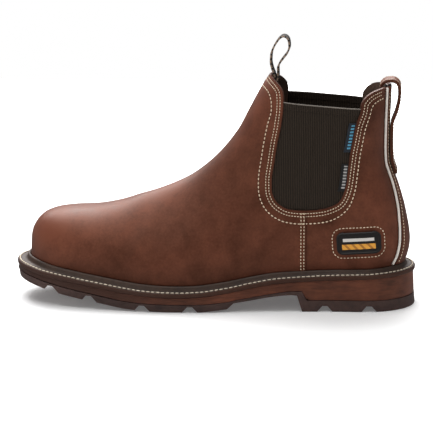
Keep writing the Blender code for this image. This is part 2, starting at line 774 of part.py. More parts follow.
def make_tabs(parts):
    for tab in TABS:
        rows = []
        for height in np.linspace(tab.foot, tab.top, TAB_ROWS) * PEAK_HEIGHT:
            _, back = gore_limits(height)
            right = back - 3 * FIT_GAP
            across = np.linspace(right - TAB_WIDTH, right, TAB_COLUMNS)
            rows.append([(float(x), height) for x in across])
        lift = TRIM_GAP - GORE_RECESS
        patch(tab.name, rows, LATERAL, lift, TAB_THICKNESS, WEBBING, 0.8, parts)


def end_spacing(count):
    # Shares from 0 to 1 that crowd towards both ends.
    return 0.5 - 0.5 * np.cos(np.linspace(0, math.pi, count))


def section(height_at, spacing):
    # Outer face of the upper at a height that may change along the boot, as a
    # closed ring: lateral side from toe to heel, then back along the medial.
    toe = float(toe_x(height_at(TOE_X)))
    heel = float(back_x(height_at(HEEL_X)))
    x = toe + (heel - toe) * spacing
    height = height_at(x)
    lateral = side_y(x, height, LATERAL)
    medial = side_y(x, height, MEDIAL)
    for edge in (lateral, medial):
        edge[0], edge[-1] = middle_y(x[0]), middle_y(x[-1])
    return np.r_[
        np.column_stack([x, lateral]),
        np.column_stack([x, medial])[-2:0:-1]]


def grow(ring, distance):
    # The ring moved outwards by a distance, one value or one for each point.
    ahead = np.roll(ring, -1, axis=0) - np.roll(ring, 1, axis=0)
    ahead /= np.linalg.norm(ahead, axis=1, keepdims=True)
    outward = np.column_stack([ahead[:, 1], -ahead[:, 0]])
    return ring + outward * np.reshape(distance, (-1, 1))


def make_welt(parts):
    spacing = end_spacing(WELT_STATIONS)
    foot = section(foot_height, spacing)
    top = section(lambda x: flange_top(x) + rim_height(x), spacing)
    edge = grow(foot, WELT_REACH)
    crown = flange_top(edge[:, 0])
    rim_top = crown + rim_height(edge[:, 0])
    inner_top = grow(top, FIT_GAP)
    inner_foot = grow(foot, FIT_GAP)
    profile = [
        (inner_foot, crown - WELT_THICKNESS),
        (edge, crown - WELT_THICKNESS),
        (edge, crown - EDGE_ROUND),
        (grow(foot, WELT_REACH - EDGE_ROUND), crown),
        (grow(top, FIT_GAP + RIM_THICKNESS), crown),
        (grow(top, FIT_GAP + RIM_THICKNESS - RIM_TAPER), rim_top),
        (inner_top, rim_top),
    ]
    form = bmesh.new()
    closed_loft(form, [
        [(x, y, float(z)) for (x, y), z in zip(ring, heights)] for ring, heights in profile])
    return new_object("welt", tidy_mesh(form, "welt"), WELT_BROWN, 0.6, parts)


def outline_at(inset, x_share):
    # Both sides of the sole's outline at a share of its own length.
    ring = grow(section(foot_height, end_spacing(OUTLINE_STATIONS)), WELT_REACH - inset)
    split = ring[:, 0].argmax()
    lateral, medial = ring[:split + 1], ring[split:]
    toe, heel = ring[:, 0].min(), ring[:, 0].max()
    x = toe + (heel - toe) * x_share
    right = np.interp(x, lateral[:, 0], lateral[:, 1])
    medial = np.r_[medial, ring[:1]][::-1]
    left = np.interp(x, medial[:, 0], medial[:, 1])
    return x, right, left


def sole_stations():
    # Stations crowd at the ends and fall on the table's rows from the ball to
    # the heel's breast, where the tread has its flats and steps.
    ball, breast = 0.394, 0.738
    breaks = np.array([row.along for row in STACK if ball <= row.along <= breast])
    clear = [s for s in end_spacing(SOLE_STATIONS) if np.abs(breaks - s).min() > 0.006]
    return np.array(sorted(list(breaks) + clear))


def slab(name, bottom, top, levels, shares, color, roughness, parts):
    # A layer of the sole: levels give the share of its height and the inset
    # there at the forefoot and at the heel.
    form = bmesh.new()
    x_plain = sole_x(shares)
    arch, breast = 0.55, 0.72
    heel = smooth_rise(arch, breast, shares)
    rows = []
    for level in levels:
        x0, right0, left0 = outline_at(level.forefoot, shares)
        x1, right1, left1 = outline_at(level.heel, shares)
        x = x0 + (x1 - x0) * heel
        right = right0 + (right1 - right0) * heel
        left = left0 + (left1 - left0) * heel
        z = bottom(x_plain) + (top(x_plain) - bottom(x_plain)) * level.share
        rows.append((x, right, left, z))
    rings = []
    for k in range(len(shares)):
        ring = [(x[k], right[k], z[k]) for x, right, left, z in rows]
        ring += [(x[k], left[k], z[k]) for x, right, left, z in rows[::-1]]
        rings.append([form.verts.new(point) for point in ring])
    for first, second in zip(rings, rings[1:]):
        for k in range(len(first)):
            after = (k + 1) % len(first)
            form.faces.new((first[k], first[after], second[after], second[k]))
    form.faces.new(rings[0])
    form.faces.new(rings[-1])
    return new_object(name, tidy_mesh(form, name), color, roughness, parts)


Level = namedtuple("Level", "share forefoot heel")


def tread_height(x):
    return SOLE_STACK * stack_tread(x / BOOT_LENGTH + 0.5)


def layer_height(x):
    return SOLE_STACK * stack_layer(x / BOOT_LENGTH + 0.5)


def make_outsole(parts, cutters):
    levels = [
        Level(0.0, 1.6 * SOLE_EDGE_STEP, 0.0),
        Level(0.82, SOLE_EDGE_STEP, 0.5 * SOLE_EDGE_STEP),
        Level(1.0, 0.4 * SOLE_EDGE_STEP, 0.5 * SOLE_EDGE_STEP),
    ]
    outsole = slab("outsole", tread_height, layer_height, levels, sole_stations(),
                   DARK_RUBBER, 0.6, parts)
    for number, (start, end) in enumerate(SPINES):
        x = sole_x(np.linspace(start, end, 9))
        roof = tread_height(x) + SPINE_DEPTH
        outline = list(zip(x.tolist(), roof.tolist()))
        outline += [(float(x[-1]), -SPINE_DEPTH), (float(x[0]), -SPINE_DEPTH)]
        cutter = prism_cutter("spine_cutter_%d" % number, outline, SPINE_WIDTH / 2, cutters)
        difference(outsole, cutter)
    for number, along in enumerate(CHANNELS):
        x = float(sole_x(along))
        low = float(tread_height(x))
        roof = low + CHANNEL_DEPTH
        under = min(low, 0) - CHANNEL_DEPTH
        spread = (CHANNEL_BOTTOM - CHANNEL_TOP) / 2 / CHANNEL_DEPTH
        mouth = CHANNEL_TOP / 2 + spread * (roof - under)
        outline = [
            (x - CHANNEL_TOP / 2, roof), (x + CHANNEL_TOP / 2, roof),
            (x + mouth, under), (x - mouth, under)]
        cutter = prism_cutter("channel_cutter_%d" % number, outline, BALL_WIDTH, cutters)
        difference(outsole, cutter)
    return outsole


def make_midsole(parts):
    levels = [
        Level(0.0, 0.8 * SOLE_EDGE_STEP, 0.9 * SOLE_EDGE_STEP),
        Level(0.86, 1.5 * SOLE_EDGE_STEP, 1.6 * SOLE_EDGE_STEP),
        Level(1.0, 0.8 * SOLE_EDGE_STEP, 1.2 * SOLE_EDGE_STEP),
    ]

    def bottom(x):
        return layer_height(x - 3 * FIT_GAP) + FIT_GAP

    def top(x):
        return foot_height(x) - TRIM_GAP

    return slab("midsole", bottom, top, levels, sole_stations(), BURNISHED, 0.45, parts)


def make_insole(parts):
    spacing = end_spacing(INSOLE_STATIONS)
    ring = grow(section(foot_height, spacing), -(UPPER_WALL + TRIM_GAP + FIT_GAP))
    low = foot_height(ring[:, 0])
    half = len(spacing)
    right, left = ring[:half], np.r_[ring[:1], ring[:half - 2:-1]]
    form = bmesh.new()
    rows = []
    for near, far in zip(right, left):
        x = (near[0] + far[0]) / 2
        foot = float(foot_height(x))
        corners = [
            (x, near[1], foot), (x, far[1], foot),
            (x, far[1], foot + INSOLE_THICKNESS), (x, near[1], foot + INSOLE_THICKNESS)]
        rows.append([form.verts.new(point) for point in corners])
    for first, second in zip(rows, rows[1:]):
        for k in range(4):
            after = (k + 1) % 4
            form.faces.new((first[k], first[after], second[after], second[k]))
    form.faces.new(rows[0])
    form.faces.new(rows[-1])
    return new_object("insole", tidy_mesh(form, "insole"), BOARD, 0.8, parts)


def build():
    for old in list(bpy.data.objects):
        bpy.data.objects.remove(old)
    parts = bpy.data.collections.new("side_gore_work_boot")
    cutters = bpy.data.collections.new("cutters")
    bpy.context.scene.collection.children.link(parts)
    bpy.context.scene.collection.children.link(cutters)
    make_upper(parts, cutters)
    make_outsole(parts, cutters)
    make_midsole(parts)
    make_welt(parts)
    make_insole(parts)
    make_gore("gore_lateral", LATERAL, parts)
    make_gore("gore_medial", MEDIAL, parts)
    make_backstay(parts)
    make_piping("piping_lateral", LATERAL, parts)
    make_piping("piping_medial", MEDIAL, parts)
    make_heel_strap(parts)
    make_front_loop(parts)
    make_badge(parts)
    make_tabs(parts)


build()
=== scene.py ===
# Side gore work boot, left foot: leather, stitching, elastic, sole finish and light
import math

import bmesh
import bpy
import numpy as np
from mathutils import Matrix, Vector


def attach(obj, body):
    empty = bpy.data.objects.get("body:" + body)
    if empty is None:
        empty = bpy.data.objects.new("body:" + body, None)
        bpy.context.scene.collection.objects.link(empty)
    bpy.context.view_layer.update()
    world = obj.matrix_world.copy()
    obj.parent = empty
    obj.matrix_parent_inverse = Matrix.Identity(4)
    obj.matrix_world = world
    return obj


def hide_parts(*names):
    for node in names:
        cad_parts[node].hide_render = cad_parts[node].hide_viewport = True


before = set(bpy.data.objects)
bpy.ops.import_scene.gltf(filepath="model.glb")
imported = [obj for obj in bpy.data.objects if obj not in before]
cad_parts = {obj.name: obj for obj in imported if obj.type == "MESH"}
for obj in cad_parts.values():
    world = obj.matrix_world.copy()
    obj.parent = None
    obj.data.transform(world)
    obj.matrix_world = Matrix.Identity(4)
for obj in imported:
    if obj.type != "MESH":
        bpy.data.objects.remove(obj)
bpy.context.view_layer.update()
mm = 0.001
lateral, medial = -1, 1
bothSides = (("lateral", lateral), ("medial", medial))
farOff = 50 * mm  # stands for no edge or seam near

# The last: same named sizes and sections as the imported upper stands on
last = {
    "length": 290.4 * mm,
    "ballWidth": 92.5 * mm,
    "shaftWidth": 69 * mm,
    "peakHeight": 176 * mm,
    "bulge": 3.0 * mm,
    "bulgeHeight": 15 * mm,
    "ankleHeight": 105 * mm,
    "toeRound": 52 * mm,
    "heelRound": 30 * mm,
    "collarRound": 34 * mm,
    "roundness": 2.1,
    "crownBlend": (0.26, 0.45),  # along, where the foot's crown gives way to the shaft's
    "wall": 2.2 * mm,
}
sole = {
    "length": 310 * mm,
    "stack": 27.5 * mm,
    "reach": 9.8 * mm,
    "weltThickness": 3.4 * mm,
    "rimThickness": 2.6 * mm,
    "rimToe": 4.2 * mm,
    "rimHeel": 3.0 * mm,
    "heightAt": 0.6,  # share of the reach at which the flange's height is read
    "edgeBelow": 0.25 * mm,  # below the flange's top, where its cut edge starts
}
toeX = -last["length"] / 2
heelX = last["length"] / 2

# along the last from the toe, height as a share of the peak
frontShape = [
    (0.0000, 0.130), (0.0045, 0.204), (0.0060, 0.251), (0.0076, 0.278),
    (0.0131, 0.310), (0.0296, 0.350), (0.0461, 0.370), (0.0789, 0.389),
    (0.1274, 0.400), (0.1760, 0.405), (0.2407, 0.425), (0.3054, 0.460),
    (0.3698, 0.497), (0.4342, 0.547), (0.4983, 0.628), (0.5616, 0.753),
    (0.5933, 0.851), (0.6250, 0.948), (0.6457, 1.000), (0.6600, 1.035),
]
# height as a share of the peak, reach back as a share of half the last
backShape = [
    (0.130, 1.000), (0.192, 1.002), (0.219, 1.012), (0.251, 1.021),
    (0.282, 1.024), (0.326, 1.019), (0.375, 1.008), (0.428, 0.994),
    (0.486, 0.974), (0.539, 0.953), (0.582, 0.933), (0.636, 0.914),
    (0.710, 0.910), (0.801, 0.911), (0.886, 0.914), (1.000, 0.918),
]
# along, lateral and medial half widths and middle line's shift, shares of the ball width
footShape = [
    (0.000, 0.450, 0.450, 0.052), (0.120, 0.445, 0.447, 0.042),
    (0.225, 0.481, 0.465, 0.032), (0.345, 0.519, 0.429, 0.019),
    (0.466, 0.492, 0.324, 0.008), (0.586, 0.424, 0.270, 0.000),
    (0.707, 0.368, 0.281, 0.000), (0.827, 0.335, 0.314, 0.000),
    (1.000, 0.324, 0.319, 0.000),
]
# along, roundness of the crown, depth of the crown as a share of the peak
crownShape = [
    (0.00, 2.60, 0.300), (0.20, 2.30, 0.300), (0.36, 1.95, 0.290),
    (0.45, 1.85, 0.275), (0.55, 1.95, 0.240), (0.66, 2.10, 0.215),
]
# along the sole, top of the welt's flange as a share of the stack
flangeShape = [
    (0.000, 1.090), (0.048, 1.030), (0.084, 0.965), (0.149, 0.865),
    (0.229, 0.735), (0.287, 0.640), (0.348, 0.567), (0.394, 0.540),
    (0.430, 0.536), (0.480, 0.564), (0.508, 0.605), (0.544, 0.665),
    (0.560, 0.700), (0.603, 0.800), (0.656, 0.900), (0.700, 0.940),
    (0.7135, 0.950), (0.726, 0.958), (0.738, 0.965), (0.790, 0.996),
    (0.880, 1.029), (0.941, 1.070), (1.000, 1.095),
]
# rim of the leather in side view: front peak, round the gore, quarter top
openingShape = [
    (0.6440, 1.0040), (0.6530, 0.9960), (0.6610, 0.9850), (0.6690, 0.9750),
    (0.6760, 0.9640), (0.6839, 0.9420), (0.6866, 0.9159), (0.6870, 0.8850),
    (0.6820, 0.8034), (0.6722, 0.7170), (0.6646, 0.6295), (0.6594, 0.5642),
    (0.6598, 0.5205), (0.6677, 0.4818), (0.6832, 0.4557), (0.7070, 0.4386),
    (0.7328, 0.4352), (0.7590, 0.4358), (0.7903, 0.4415), (0.8161, 0.4551),
    (0.8340, 0.4733), (0.8444, 0.5040), (0.8519, 0.5477), (0.8564, 0.6131),
    (0.8612, 0.6778), (0.8685, 0.7432), (0.8760, 0.8080), (0.8885, 0.8700),
    (0.8898, 0.8937), (0.8974, 0.9153), (0.9101, 0.9347), (0.9280, 0.9483),
    (0.9487, 0.9551), (0.9580, 0.9575),
]


def smoothRise(low, high, value):
    share = np.clip((value - low) / (high - low), 0.0, 1.0)
    return share * share * (3 - 2 * share)


def curveThrough(keys, values):
    # cubic through the points that never swings past them
    keys = np.asarray(keys, float)
    values = np.asarray(values, float)
    step = np.diff(keys)
    rise = np.diff(values) / step
    slope = np.zeros(len(keys))
    slope[0], slope[-1] = rise[0], rise[-1]
    inner = (rise[:-1] * rise[1:]) > 0
    before, after = rise[:-1][inner], rise[1:][inner]
    slope[1:-1][inner] = 2 * before * after / (before + after)

    def read(at):
        at = np.clip(np.asarray(at, float), keys[0], keys[-1])
        cell = np.clip(np.searchsorted(keys, at) - 1, 0, len(step) - 1)
        t = (at - keys[cell]) / step[cell]
        return (
            values[cell] * (1 + 2 * t) * (1 - t) ** 2
            + slope[cell] * step[cell] * t * (1 - t) ** 2
            + values[cell + 1] * t * t * (3 - 2 * t)
            + slope[cell + 1] * step[cell] * t * t * (t - 1)
        )

    return read


def columnCurve(table, column):
    rows = np.asarray(table, float)
    return curveThrough(rows[:, 0], rows[:, column])


def lastX(along):
    return toeX + last["length"] * np.asarray(along, float)


def runOf(line):
    # length walked from the line's start to each of its points
    return np.r_[0, np.cumsum(np.linalg.norm(np.diff(line, axis=0), axis=1))]


def spotsAt(line, run, at):
    # places on a line at lengths walked
    return np.column_stack([np.interp(at, run, line[:, k]) for k in range(line.shape[1])])


def sideways(line):
    # unit directions square to a flat line, to the left of its run
    ahead = np.gradient(line, axis=0)
    ahead /= np.linalg.norm(ahead, axis=1, keepdims=True)
    return np.column_stack([-ahead[:, 1], ahead[:, 0]])


def roundedLine(points, count):
    # rounded line through points, evenly spaced along its length
    points = np.asarray(points, float)
    run = runOf(points)
    fine = np.linspace(0, run[-1], count * 8)
    dense = np.column_stack([curveThrough(run, column)(fine) for column in points.T])
    run = runOf(dense)
    return spotsAt(dense, run, np.linspace(0, run[-1], count))


frontRows = np.asarray(frontShape)
frontLine = roundedLine(
    np.column_stack([lastX(frontRows[:, 0]), last["peakHeight"] * frontRows[:, 1]]), 400)
openingRows = np.asarray(openingShape)
openingLine = roundedLine(
    np.column_stack([lastX(openingRows[:, 0]), last["peakHeight"] * openingRows[:, 1]]), 500)
frontCrest = columnCurve(frontShape, 1)
backOut = columnCurve(backShape, 1)
footLateral = columnCurve(footShape, 1)
footMedial = columnCurve(footShape, 2)
footShift = columnCurve(footShape, 3)
crownPower = columnCurve(crownShape, 1)
crownDepth = columnCurve(crownShape, 2)
flangeShare = columnCurve(flangeShape, 1)


def alongOf(x):
    return (x - toeX) / last["length"]


def flangeTop(x):
    return sole["stack"] * flangeShare(x / sole["length"] + 0.5)


def footHeight(x):
    return flangeTop(x) - sole["weltThickness"]


def rimHeight(x):
    return sole["rimToe"] + (sole["rimHeel"] - sole["rimToe"]) * smoothRise(0, heelX, x)


def rimTop(x):
    return flangeTop(x) + rimHeight(x)


def backX(z):
    return heelX * backOut(z / last["peakHeight"])


def frontX(z):
    return np.interp(z, frontLine[:, 1], frontLine[:, 0])


def crestHeight(x):
    return last["peakHeight"] * frontCrest(alongOf(x))


def middleY(x):
    return last["ballWidth"] * footShift(alongOf(x))


def rounding(distance, reach, power):
    short = 1 - np.clip(distance / reach, 0.0, 1.0)
    return (1 - short ** power) ** (1 / power)


def lineGap(x, z, line):
    # distance in side view to a line, and the index met there
    flat = np.column_stack([np.ravel(x), np.ravel(z)])
    near = np.empty(len(flat), int)
    gap = np.empty(len(flat))
    block = 4000  # places measured at a time
    for start in range(0, len(flat), block):
        part = flat[start:start + block]
        away = (part[:, None, 0] - line[None, :, 0]) ** 2
        away += (part[:, None, 1] - line[None, :, 1]) ** 2
        near[start:start + block] = away.argmin(axis=1)
        gap[start:start + block] = np.sqrt(away.min(axis=1))
    return gap.reshape(np.shape(x)), near.reshape(np.shape(x))


def halfWidth(x, z, side):
    # half width of the lasted upper from its middle line
    x, z = np.broadcast_arrays(np.asarray(x, float), np.asarray(z, float))
    along = alongOf(x)
    plan = footLateral(along) if side == lateral else footMedial(along)
    foot = footHeight(x)
    bulgeTop = foot + last["bulgeHeight"]
    low = last["ballWidth"] * plan + last["bulge"] * smoothRise(foot, bulgeTop, z)
    lean = smoothRise(bulgeTop, np.maximum(last["ankleHeight"], bulgeTop + mm), z)
    width = low + (last["shaftWidth"] / 2 - low) * lean
    crest = crestHeight(x)
    overFoot = (z - bulgeTop) / np.maximum(crest - bulgeTop, 0.1 * mm)
    gap, near = lineGap(x, z, frontLine)
    overShaft = 1 - gap / (last["peakHeight"] * crownDepth(alongOf(frontLine[near, 0])))
    blend = smoothRise(*last["crownBlend"], along)
    rise = np.clip(overFoot * (1 - blend) + overShaft * blend, 0.0, 1.0)
    power = crownPower(along)
    crown = (1 - rise ** power) ** (1 / power)
    toe = rounding(x - frontX(np.minimum(z, bulgeTop)), last["toeRound"], last["roundness"])
    reach = last["heelRound"] + (last["collarRound"] - last["heelRound"]) * smoothRise(
        foot, last["ankleHeight"], z)
    heel = rounding(backX(z) - x, reach, last["roundness"])
    return width * crown * toe * heel


def raised(points, normals, lift):
    # points moved out along their normals
    return points + normals * np.expand_dims(np.broadcast_to(lift, points.shape[:-1]), -1)


def skinPoint(x, z, side, lift=0.0):
    # point on the upper's outer face and its outward normal, raised by lift
    x, z = np.broadcast_arrays(np.asarray(x, float), np.asarray(z, float))
    step = 0.15 * mm  # reach of the slope's samples
    here = halfWidth(x, z, side)
    y = middleY(x) + side * here
    acrossX = (halfWidth(x + step, z, side) - halfWidth(x - step, z, side)) / (2 * step)
    acrossZ = (halfWidth(x, z + step, side) - halfWidth(x, z - step, side)) / (2 * step)
    onRidge = here < 0.02 * mm
    normal = np.stack([-acrossX, np.where(onRidge, 0.0, side * 1.0), -acrossZ], axis=-1)
    normal /= np.maximum(np.linalg.norm(normal, axis=-1, keepdims=True), 1e-9)
    return raised(np.stack([x, y, z], axis=-1), normal, lift), normal


# Node helpers for the finishes
def newFinish(name):
    finish = bpy.data.materials.new(name)
    finish.use_nodes = True
    tree = finish.node_tree
    shader = tree.nodes["Principled BSDF"]
    return finish, tree, shader


def plug(tree, source, target):
    tree.links.new(source, target)


def calc(tree, operation, first, second=0.0, clamp=False):
    made = tree.nodes.new("ShaderNodeMath")
    made.operation = operation
    made.use_clamp = clamp
    for place, value in enumerate((first, second)):
        if isinstance(value, (int, float)):
            made.inputs[place].default_value = value
        else:
            tree.links.new(value, made.inputs[place])
    return made.outputs[0]


def weighted(tree, *parts):
    # sum of values, each times its share
    total = None
    for value, share in parts:
        term = calc(tree, "MULTIPLY", value, share)
        total = term if total is None else calc(tree, "ADD", total, term)
    return total


def noise(tree, coords, scale, detail=3.0, rough=0.55, distortion=0.0):
    made = tree.nodes.new("ShaderNodeTexNoise")
    made.inputs["Scale"].default_value = scale
    made.inputs["Detail"].default_value = detail
    made.inputs["Roughness"].default_value = rough
    made.inputs["Distortion"].default_value = distortion
    tree.links.new(coords, made.inputs["Vector"])
    return made.outputs["Fac"]


def ramp(tree, value, stops):
    made = tree.nodes.new("ShaderNodeValToRGB")
    points = made.color_ramp.elements
    while len(points) < len(stops):
        points.new(0.5)
    for point, (place, color) in zip(points, stops):
        point.position = place
        point.color = (*color, 1.0)
    tree.links.new(value, made.inputs["Fac"])
    return made.outputs["Color"]


def blendColor(tree, share, first, second):
    made = tree.nodes.new("ShaderNodeMix")
    made.data_type = "RGBA"
    for place, value in ((0, share), (6, first), (7, second)):
        socket = made.inputs[place]
        if isinstance(value, (int, float)):
            socket.default_value = value
        elif isinstance(value, tuple):
            socket.default_value = (*value, 1.0)
        else:
            tree.links.new(value, socket)
    return made.outputs[2]


def band(tree, value, centre, half):
    # 1 at the centre, 0 past half on each side
    away = calc(tree, "ABSOLUTE", calc(tree, "SUBTRACT", value, centre))
    return calc(tree, "SUBTRACT", 1.0, calc(tree, "DIVIDE", away, half), clamp=True)


def bump(tree, height, strength, distance, under=None):
    made = tree.nodes.new("ShaderNodeBump")
    made.inputs["Strength"].default_value = strength
    made.inputs["Distance"].default_value = distance
    tree.links.new(height, made.inputs["Height"])
    if under is not None:
        tree.links.new(under, made.inputs["Normal"])
    return made.outputs["Normal"]


def objectCoords(tree):
    return tree.nodes.new("ShaderNodeTexCoord").outputs["Object"]


def axes(tree, coords):
    made = tree.nodes.new("ShaderNodeSeparateXYZ")
    tree.links.new(coords, made.inputs[0])
    return made.outputs


def pieceUv(tree):
    # the piece's own map: along, across
    split = axes(tree, tree.nodes.new("ShaderNodeTexCoord").outputs["UV"])
    return split["X"], split["Y"]


def closeTo(tree, value, reach):
    # 1 at 0, 0 from reach on
    return calc(tree, "SUBTRACT", 1.0, calc(tree, "DIVIDE", value, reach), clamp=True)


def within(tree, value, centre, half, least):
    # 1 where the band round the centre is above its least value
    return calc(tree, "GREATER_THAN", band(tree, value, centre, half), least)


def waves(tree, value, count):
    # sine with so many waves to a unit
    return calc(tree, "SINE", calc(tree, "MULTIPLY", value, 2 * math.pi * count))


def attribute(tree, name):
    made = tree.nodes.new("ShaderNodeAttribute")
    made.attribute_name = name
    return made.outputs["Fac"]


stitch = {  # thread radii, stitch lengths, and how far each row lies from the rim
    "radius": 0.42 * mm, "thin": 0.37 * mm, "thick": 0.47 * mm,
    "short": 2.15 * mm, "long": 3.1 * mm, "seam": 2.4 * mm,
    "rows": (2.3 * mm, 4.6 * mm, 10.2 * mm), "rearCloser": 2.7 * mm,
    "seamRows": (68.6 * mm, 70.9 * mm), "seamTop": 1.2 * mm, "seamFoot": 0.5 * mm,
    "welt": 3.7 * mm, "weltRadius": 0.60 * mm, "weltInset": 2.0 * mm,
    "trimReach": 20 * mm, "trimClear": 1.2 * mm,  # where the back trim hides a row
}
leatherLook = {
    "dark": (0.062, 0.021, 0.012),
    "main": (0.106, 0.036, 0.021),
    "warm": (0.160, 0.052, 0.030),
    "steps": (0.36, 0.50, 0.64),  # places of dark, main and warm in the mottle
    "shares": (0.48, 0.32, 0.20, 0.14),  # slow, mid and fine mottle, and the set tone with its painted light and shade
    "burnishAndShade": (0.040, 0.014, 0.009),
    "shades": (  # darker along the foot, burnished at the cut rim, painted shadow at the vamp's lap: reach, share
        ("footGap", 20 * mm, 0.35), ("edgeGap", 1.4 * mm, 0.55), ("seamGap", 1.2 * mm, 0.5)),
    "groove": 0.9 * mm,
    "grooveShade": 0.35,
    "shine": (1.0, 0.50, 0.34, 1),
    "shineLevel": 0.27,
    "roughness": 0.46,
    "mottle": 16.0,
    "grain": 950.0,
}


def leatherFinish(name, rows=stitch["rows"][:2], look=leatherLook):
    # oiled leather: slow mottling, fine grain, grooves where the thread runs
    finish, tree, shader = newFinish(name)
    coords = objectCoords(tree)
    slow = noise(tree, coords, look["mottle"], 3.0, 0.55, 0.6)
    mid = noise(tree, coords, look["mottle"] * 5, 4.0, 0.6, 0.3)
    fine = noise(tree, coords, look["mottle"] * 36, 3.0, 0.6)
    # the set tone carries painted light and shade as well as the leather's own tone
    layers = (slow, mid, fine, attribute(tree, "toneAndPaintedLight"))
    mixed = weighted(tree, *zip(layers, look["shares"]))
    shades = (look["dark"], look["main"], look["warm"])
    color = ramp(tree, mixed, list(zip(look["steps"], shades)))
    # darker towards the foot, burnished at the cut rim, and a painted shadow line along the side
    # seam
    for gap, reach, share in look["shades"]:
        shade = closeTo(tree, attribute(tree, gap), reach)
        color = blendColor(tree, calc(tree, "MULTIPLY", shade, share), color, look["burnishAndShade"])
    groove = None
    if rows:
        groove = band(tree, attribute(tree, "rowGap"), 0.0, look["groove"])
        for row in rows:
            here = band(tree, attribute(tree, "edgeGap"), row, look["groove"])
            groove = calc(tree, "MAXIMUM", groove, here)
        # painted shade in the stitch grooves, on top of the bump's dip
        shade = calc(tree, "MULTIPLY", groove, look["grooveShade"])
        color = blendColor(tree, shade, color, look["burnishAndShade"])
    plug(tree, color, shader.inputs["Base Color"])
    gloss = calc(tree, "ADD", calc(tree, "MULTIPLY", mid, 0.22), look["roughness"] - 0.10)
    plug(tree, gloss, shader.inputs["Roughness"])
    shader.inputs["Specular IOR Level"].default_value = look["shineLevel"]
    shader.inputs["Specular Tint"].default_value = look["shine"]
    cells = tree.nodes.new("ShaderNodeTexVoronoi")
    cells.inputs["Scale"].default_value = look["grain"]
    plug(tree, coords, cells.inputs["Vector"])
    pore = noise(tree, coords, look["grain"] * 2.2, 2.0)
    grain = calc(tree, "ADD", calc(tree, "MULTIPLY", cells.outputs["Distance"], 0.6), pore)
    normal = bump(tree, grain, 0.22, 0.10 * mm)
    pull = noise(tree, coords, 130.0, 3.0, 0.5, 0.8)
    normal = bump(tree, pull, 0.25, 0.35 * mm, normal)
    if rows:
        dip = calc(tree, "SUBTRACT", 1.0, calc(tree, "POWER", groove, 1.5))
        normal = bump(tree, dip, 0.9, 0.30 * mm, normal)
    plug(tree, normal, shader.inputs["Normal"])
    return finish


def threadFinish(name, color):
    finish, tree, shader = newFinish(name)
    coords = objectCoords(tree)
    twist = noise(tree, coords, 1600.0, 2.0)
    shaded = tuple(c * 0.72 for c in color)
    plug(tree, ramp(tree, twist, [(0.3, shaded), (0.7, color)]), shader.inputs["Base Color"])
    shader.inputs["Roughness"].default_value = 0.75
    plug(tree, bump(tree, twist, 0.5, 0.1 * mm), shader.inputs["Normal"])
    return finish


plainLooks = {  # colour, roughness, fineness and depth of the grain, spread of the colour
    "lining": ((0.105, 0.062, 0.042), 0.85, 500.0, 0.15 * mm, 0.35),
    "bead": ((0.80, 0.74, 0.67), 0.45, 500.0, 0.05 * mm, 0.12),
    "weltLeather": ((0.050, 0.026, 0.016), 0.6, 420.0, 0.12 * mm, 0.35),
    "treadRubber": ((0.060, 0.029, 0.023), 0.6, 260.0, 0.15 * mm, 0.4),
    "insoleBoard": ((0.030, 0.022, 0.016), 0.8, 300.0, 0.15 * mm, 0.35),
    # pale cord that paints the highlight on the gore's fold
    "foldHighlight": ((0.17, 0.145, 0.12), 0.8, 500.0, 0.05 * mm, 0.2),
}


def plainFinish(name, color, roughness, scale, depth, spread):
    # even material with a fine mottle of colour and height
    finish, tree, shader = newFinish(name)
    coords = objectCoords(tree)
    slow = noise(tree, coords, scale * 0.15, 4.0, 0.6)
    fine = noise(tree, coords, scale, 4.0, 0.6)
    mixed = weighted(tree, (slow, 0.6), (fine, 0.4))
    low = tuple(c * (1 - spread) for c in color)
    high = tuple(c * (1 + spread) for c in color)
    plug(tree, ramp(tree, mixed, [(0.35, low), (0.65, high)]), shader.inputs["Base Color"])
    rough = calc(tree, "ADD", calc(tree, "MULTIPLY", fine, 0.2), roughness - 0.1)
    plug(tree, rough, shader.inputs["Roughness"])
    plug(tree, bump(tree, fine, 0.4, depth), shader.inputs["Normal"])
    return finish


elasticLook = {
    "dark": (0.016, 0.0115, 0.0085),
    "light": (0.042, 0.030, 0.021),
    "rib": 1.35 * mm,
    "cross": 0.9 * mm,
    "shineLevel": 0.15,
}


def elasticFinish(name, look=elasticLook):
    # ribbed elastic: upright cords with short cross threads
    finish, tree, shader = newFinish(name)
    coords = objectCoords(tree)
    split = axes(tree, coords)
    rib = calc(tree, "ADD", waves(tree, split["X"], 1 / look["rib"]), 1.0)
    rib = calc(tree, "MULTIPLY", rib, 0.5)
    cross = waves(tree, split["Z"], 1 / look["cross"])
    fuzz = noise(tree, coords, 900.0, 3.0)
    height = calc(tree, "ADD", rib, calc(tree, "MULTIPLY", cross, 0.16))
    # colour darker in the hollows between the cords: painted shade, mixed with a random fuzz
    shade = weighted(tree, (rib, 0.55), (fuzz, 0.45))
    color = ramp(tree, shade, [(0.25, look["dark"]), (0.75, look["light"])])
    plug(tree, color, shader.inputs["Base Color"])
    shader.inputs["Roughness"].default_value = 0.85
    shader.inputs["Specular IOR Level"].default_value = look["shineLevel"]
    plug(tree, bump(tree, height, 0.9, 0.35 * mm), shader.inputs["Normal"])
    return finish


midsoleLook = {
    "toe": (0.048, 0.027, 0.024),
    "heel": (0.185, 0.060, 0.034),
    "stain": (0.046, 0.022, 0.017),
    "turns": (-100 * mm, 20 * mm),  # along the boot, from the toe's colour to the heel's
    "shine": (1.0, 0.66, 0.50, 1),
    "shineLevel": 0.3,
    "roughness": 0.42,
}
weltEdgeLook = dict(
    midsoleLook, toe=(0.046, 0.026, 0.022), heel=(0.060, 0.028, 0.020), roughness=0.5)


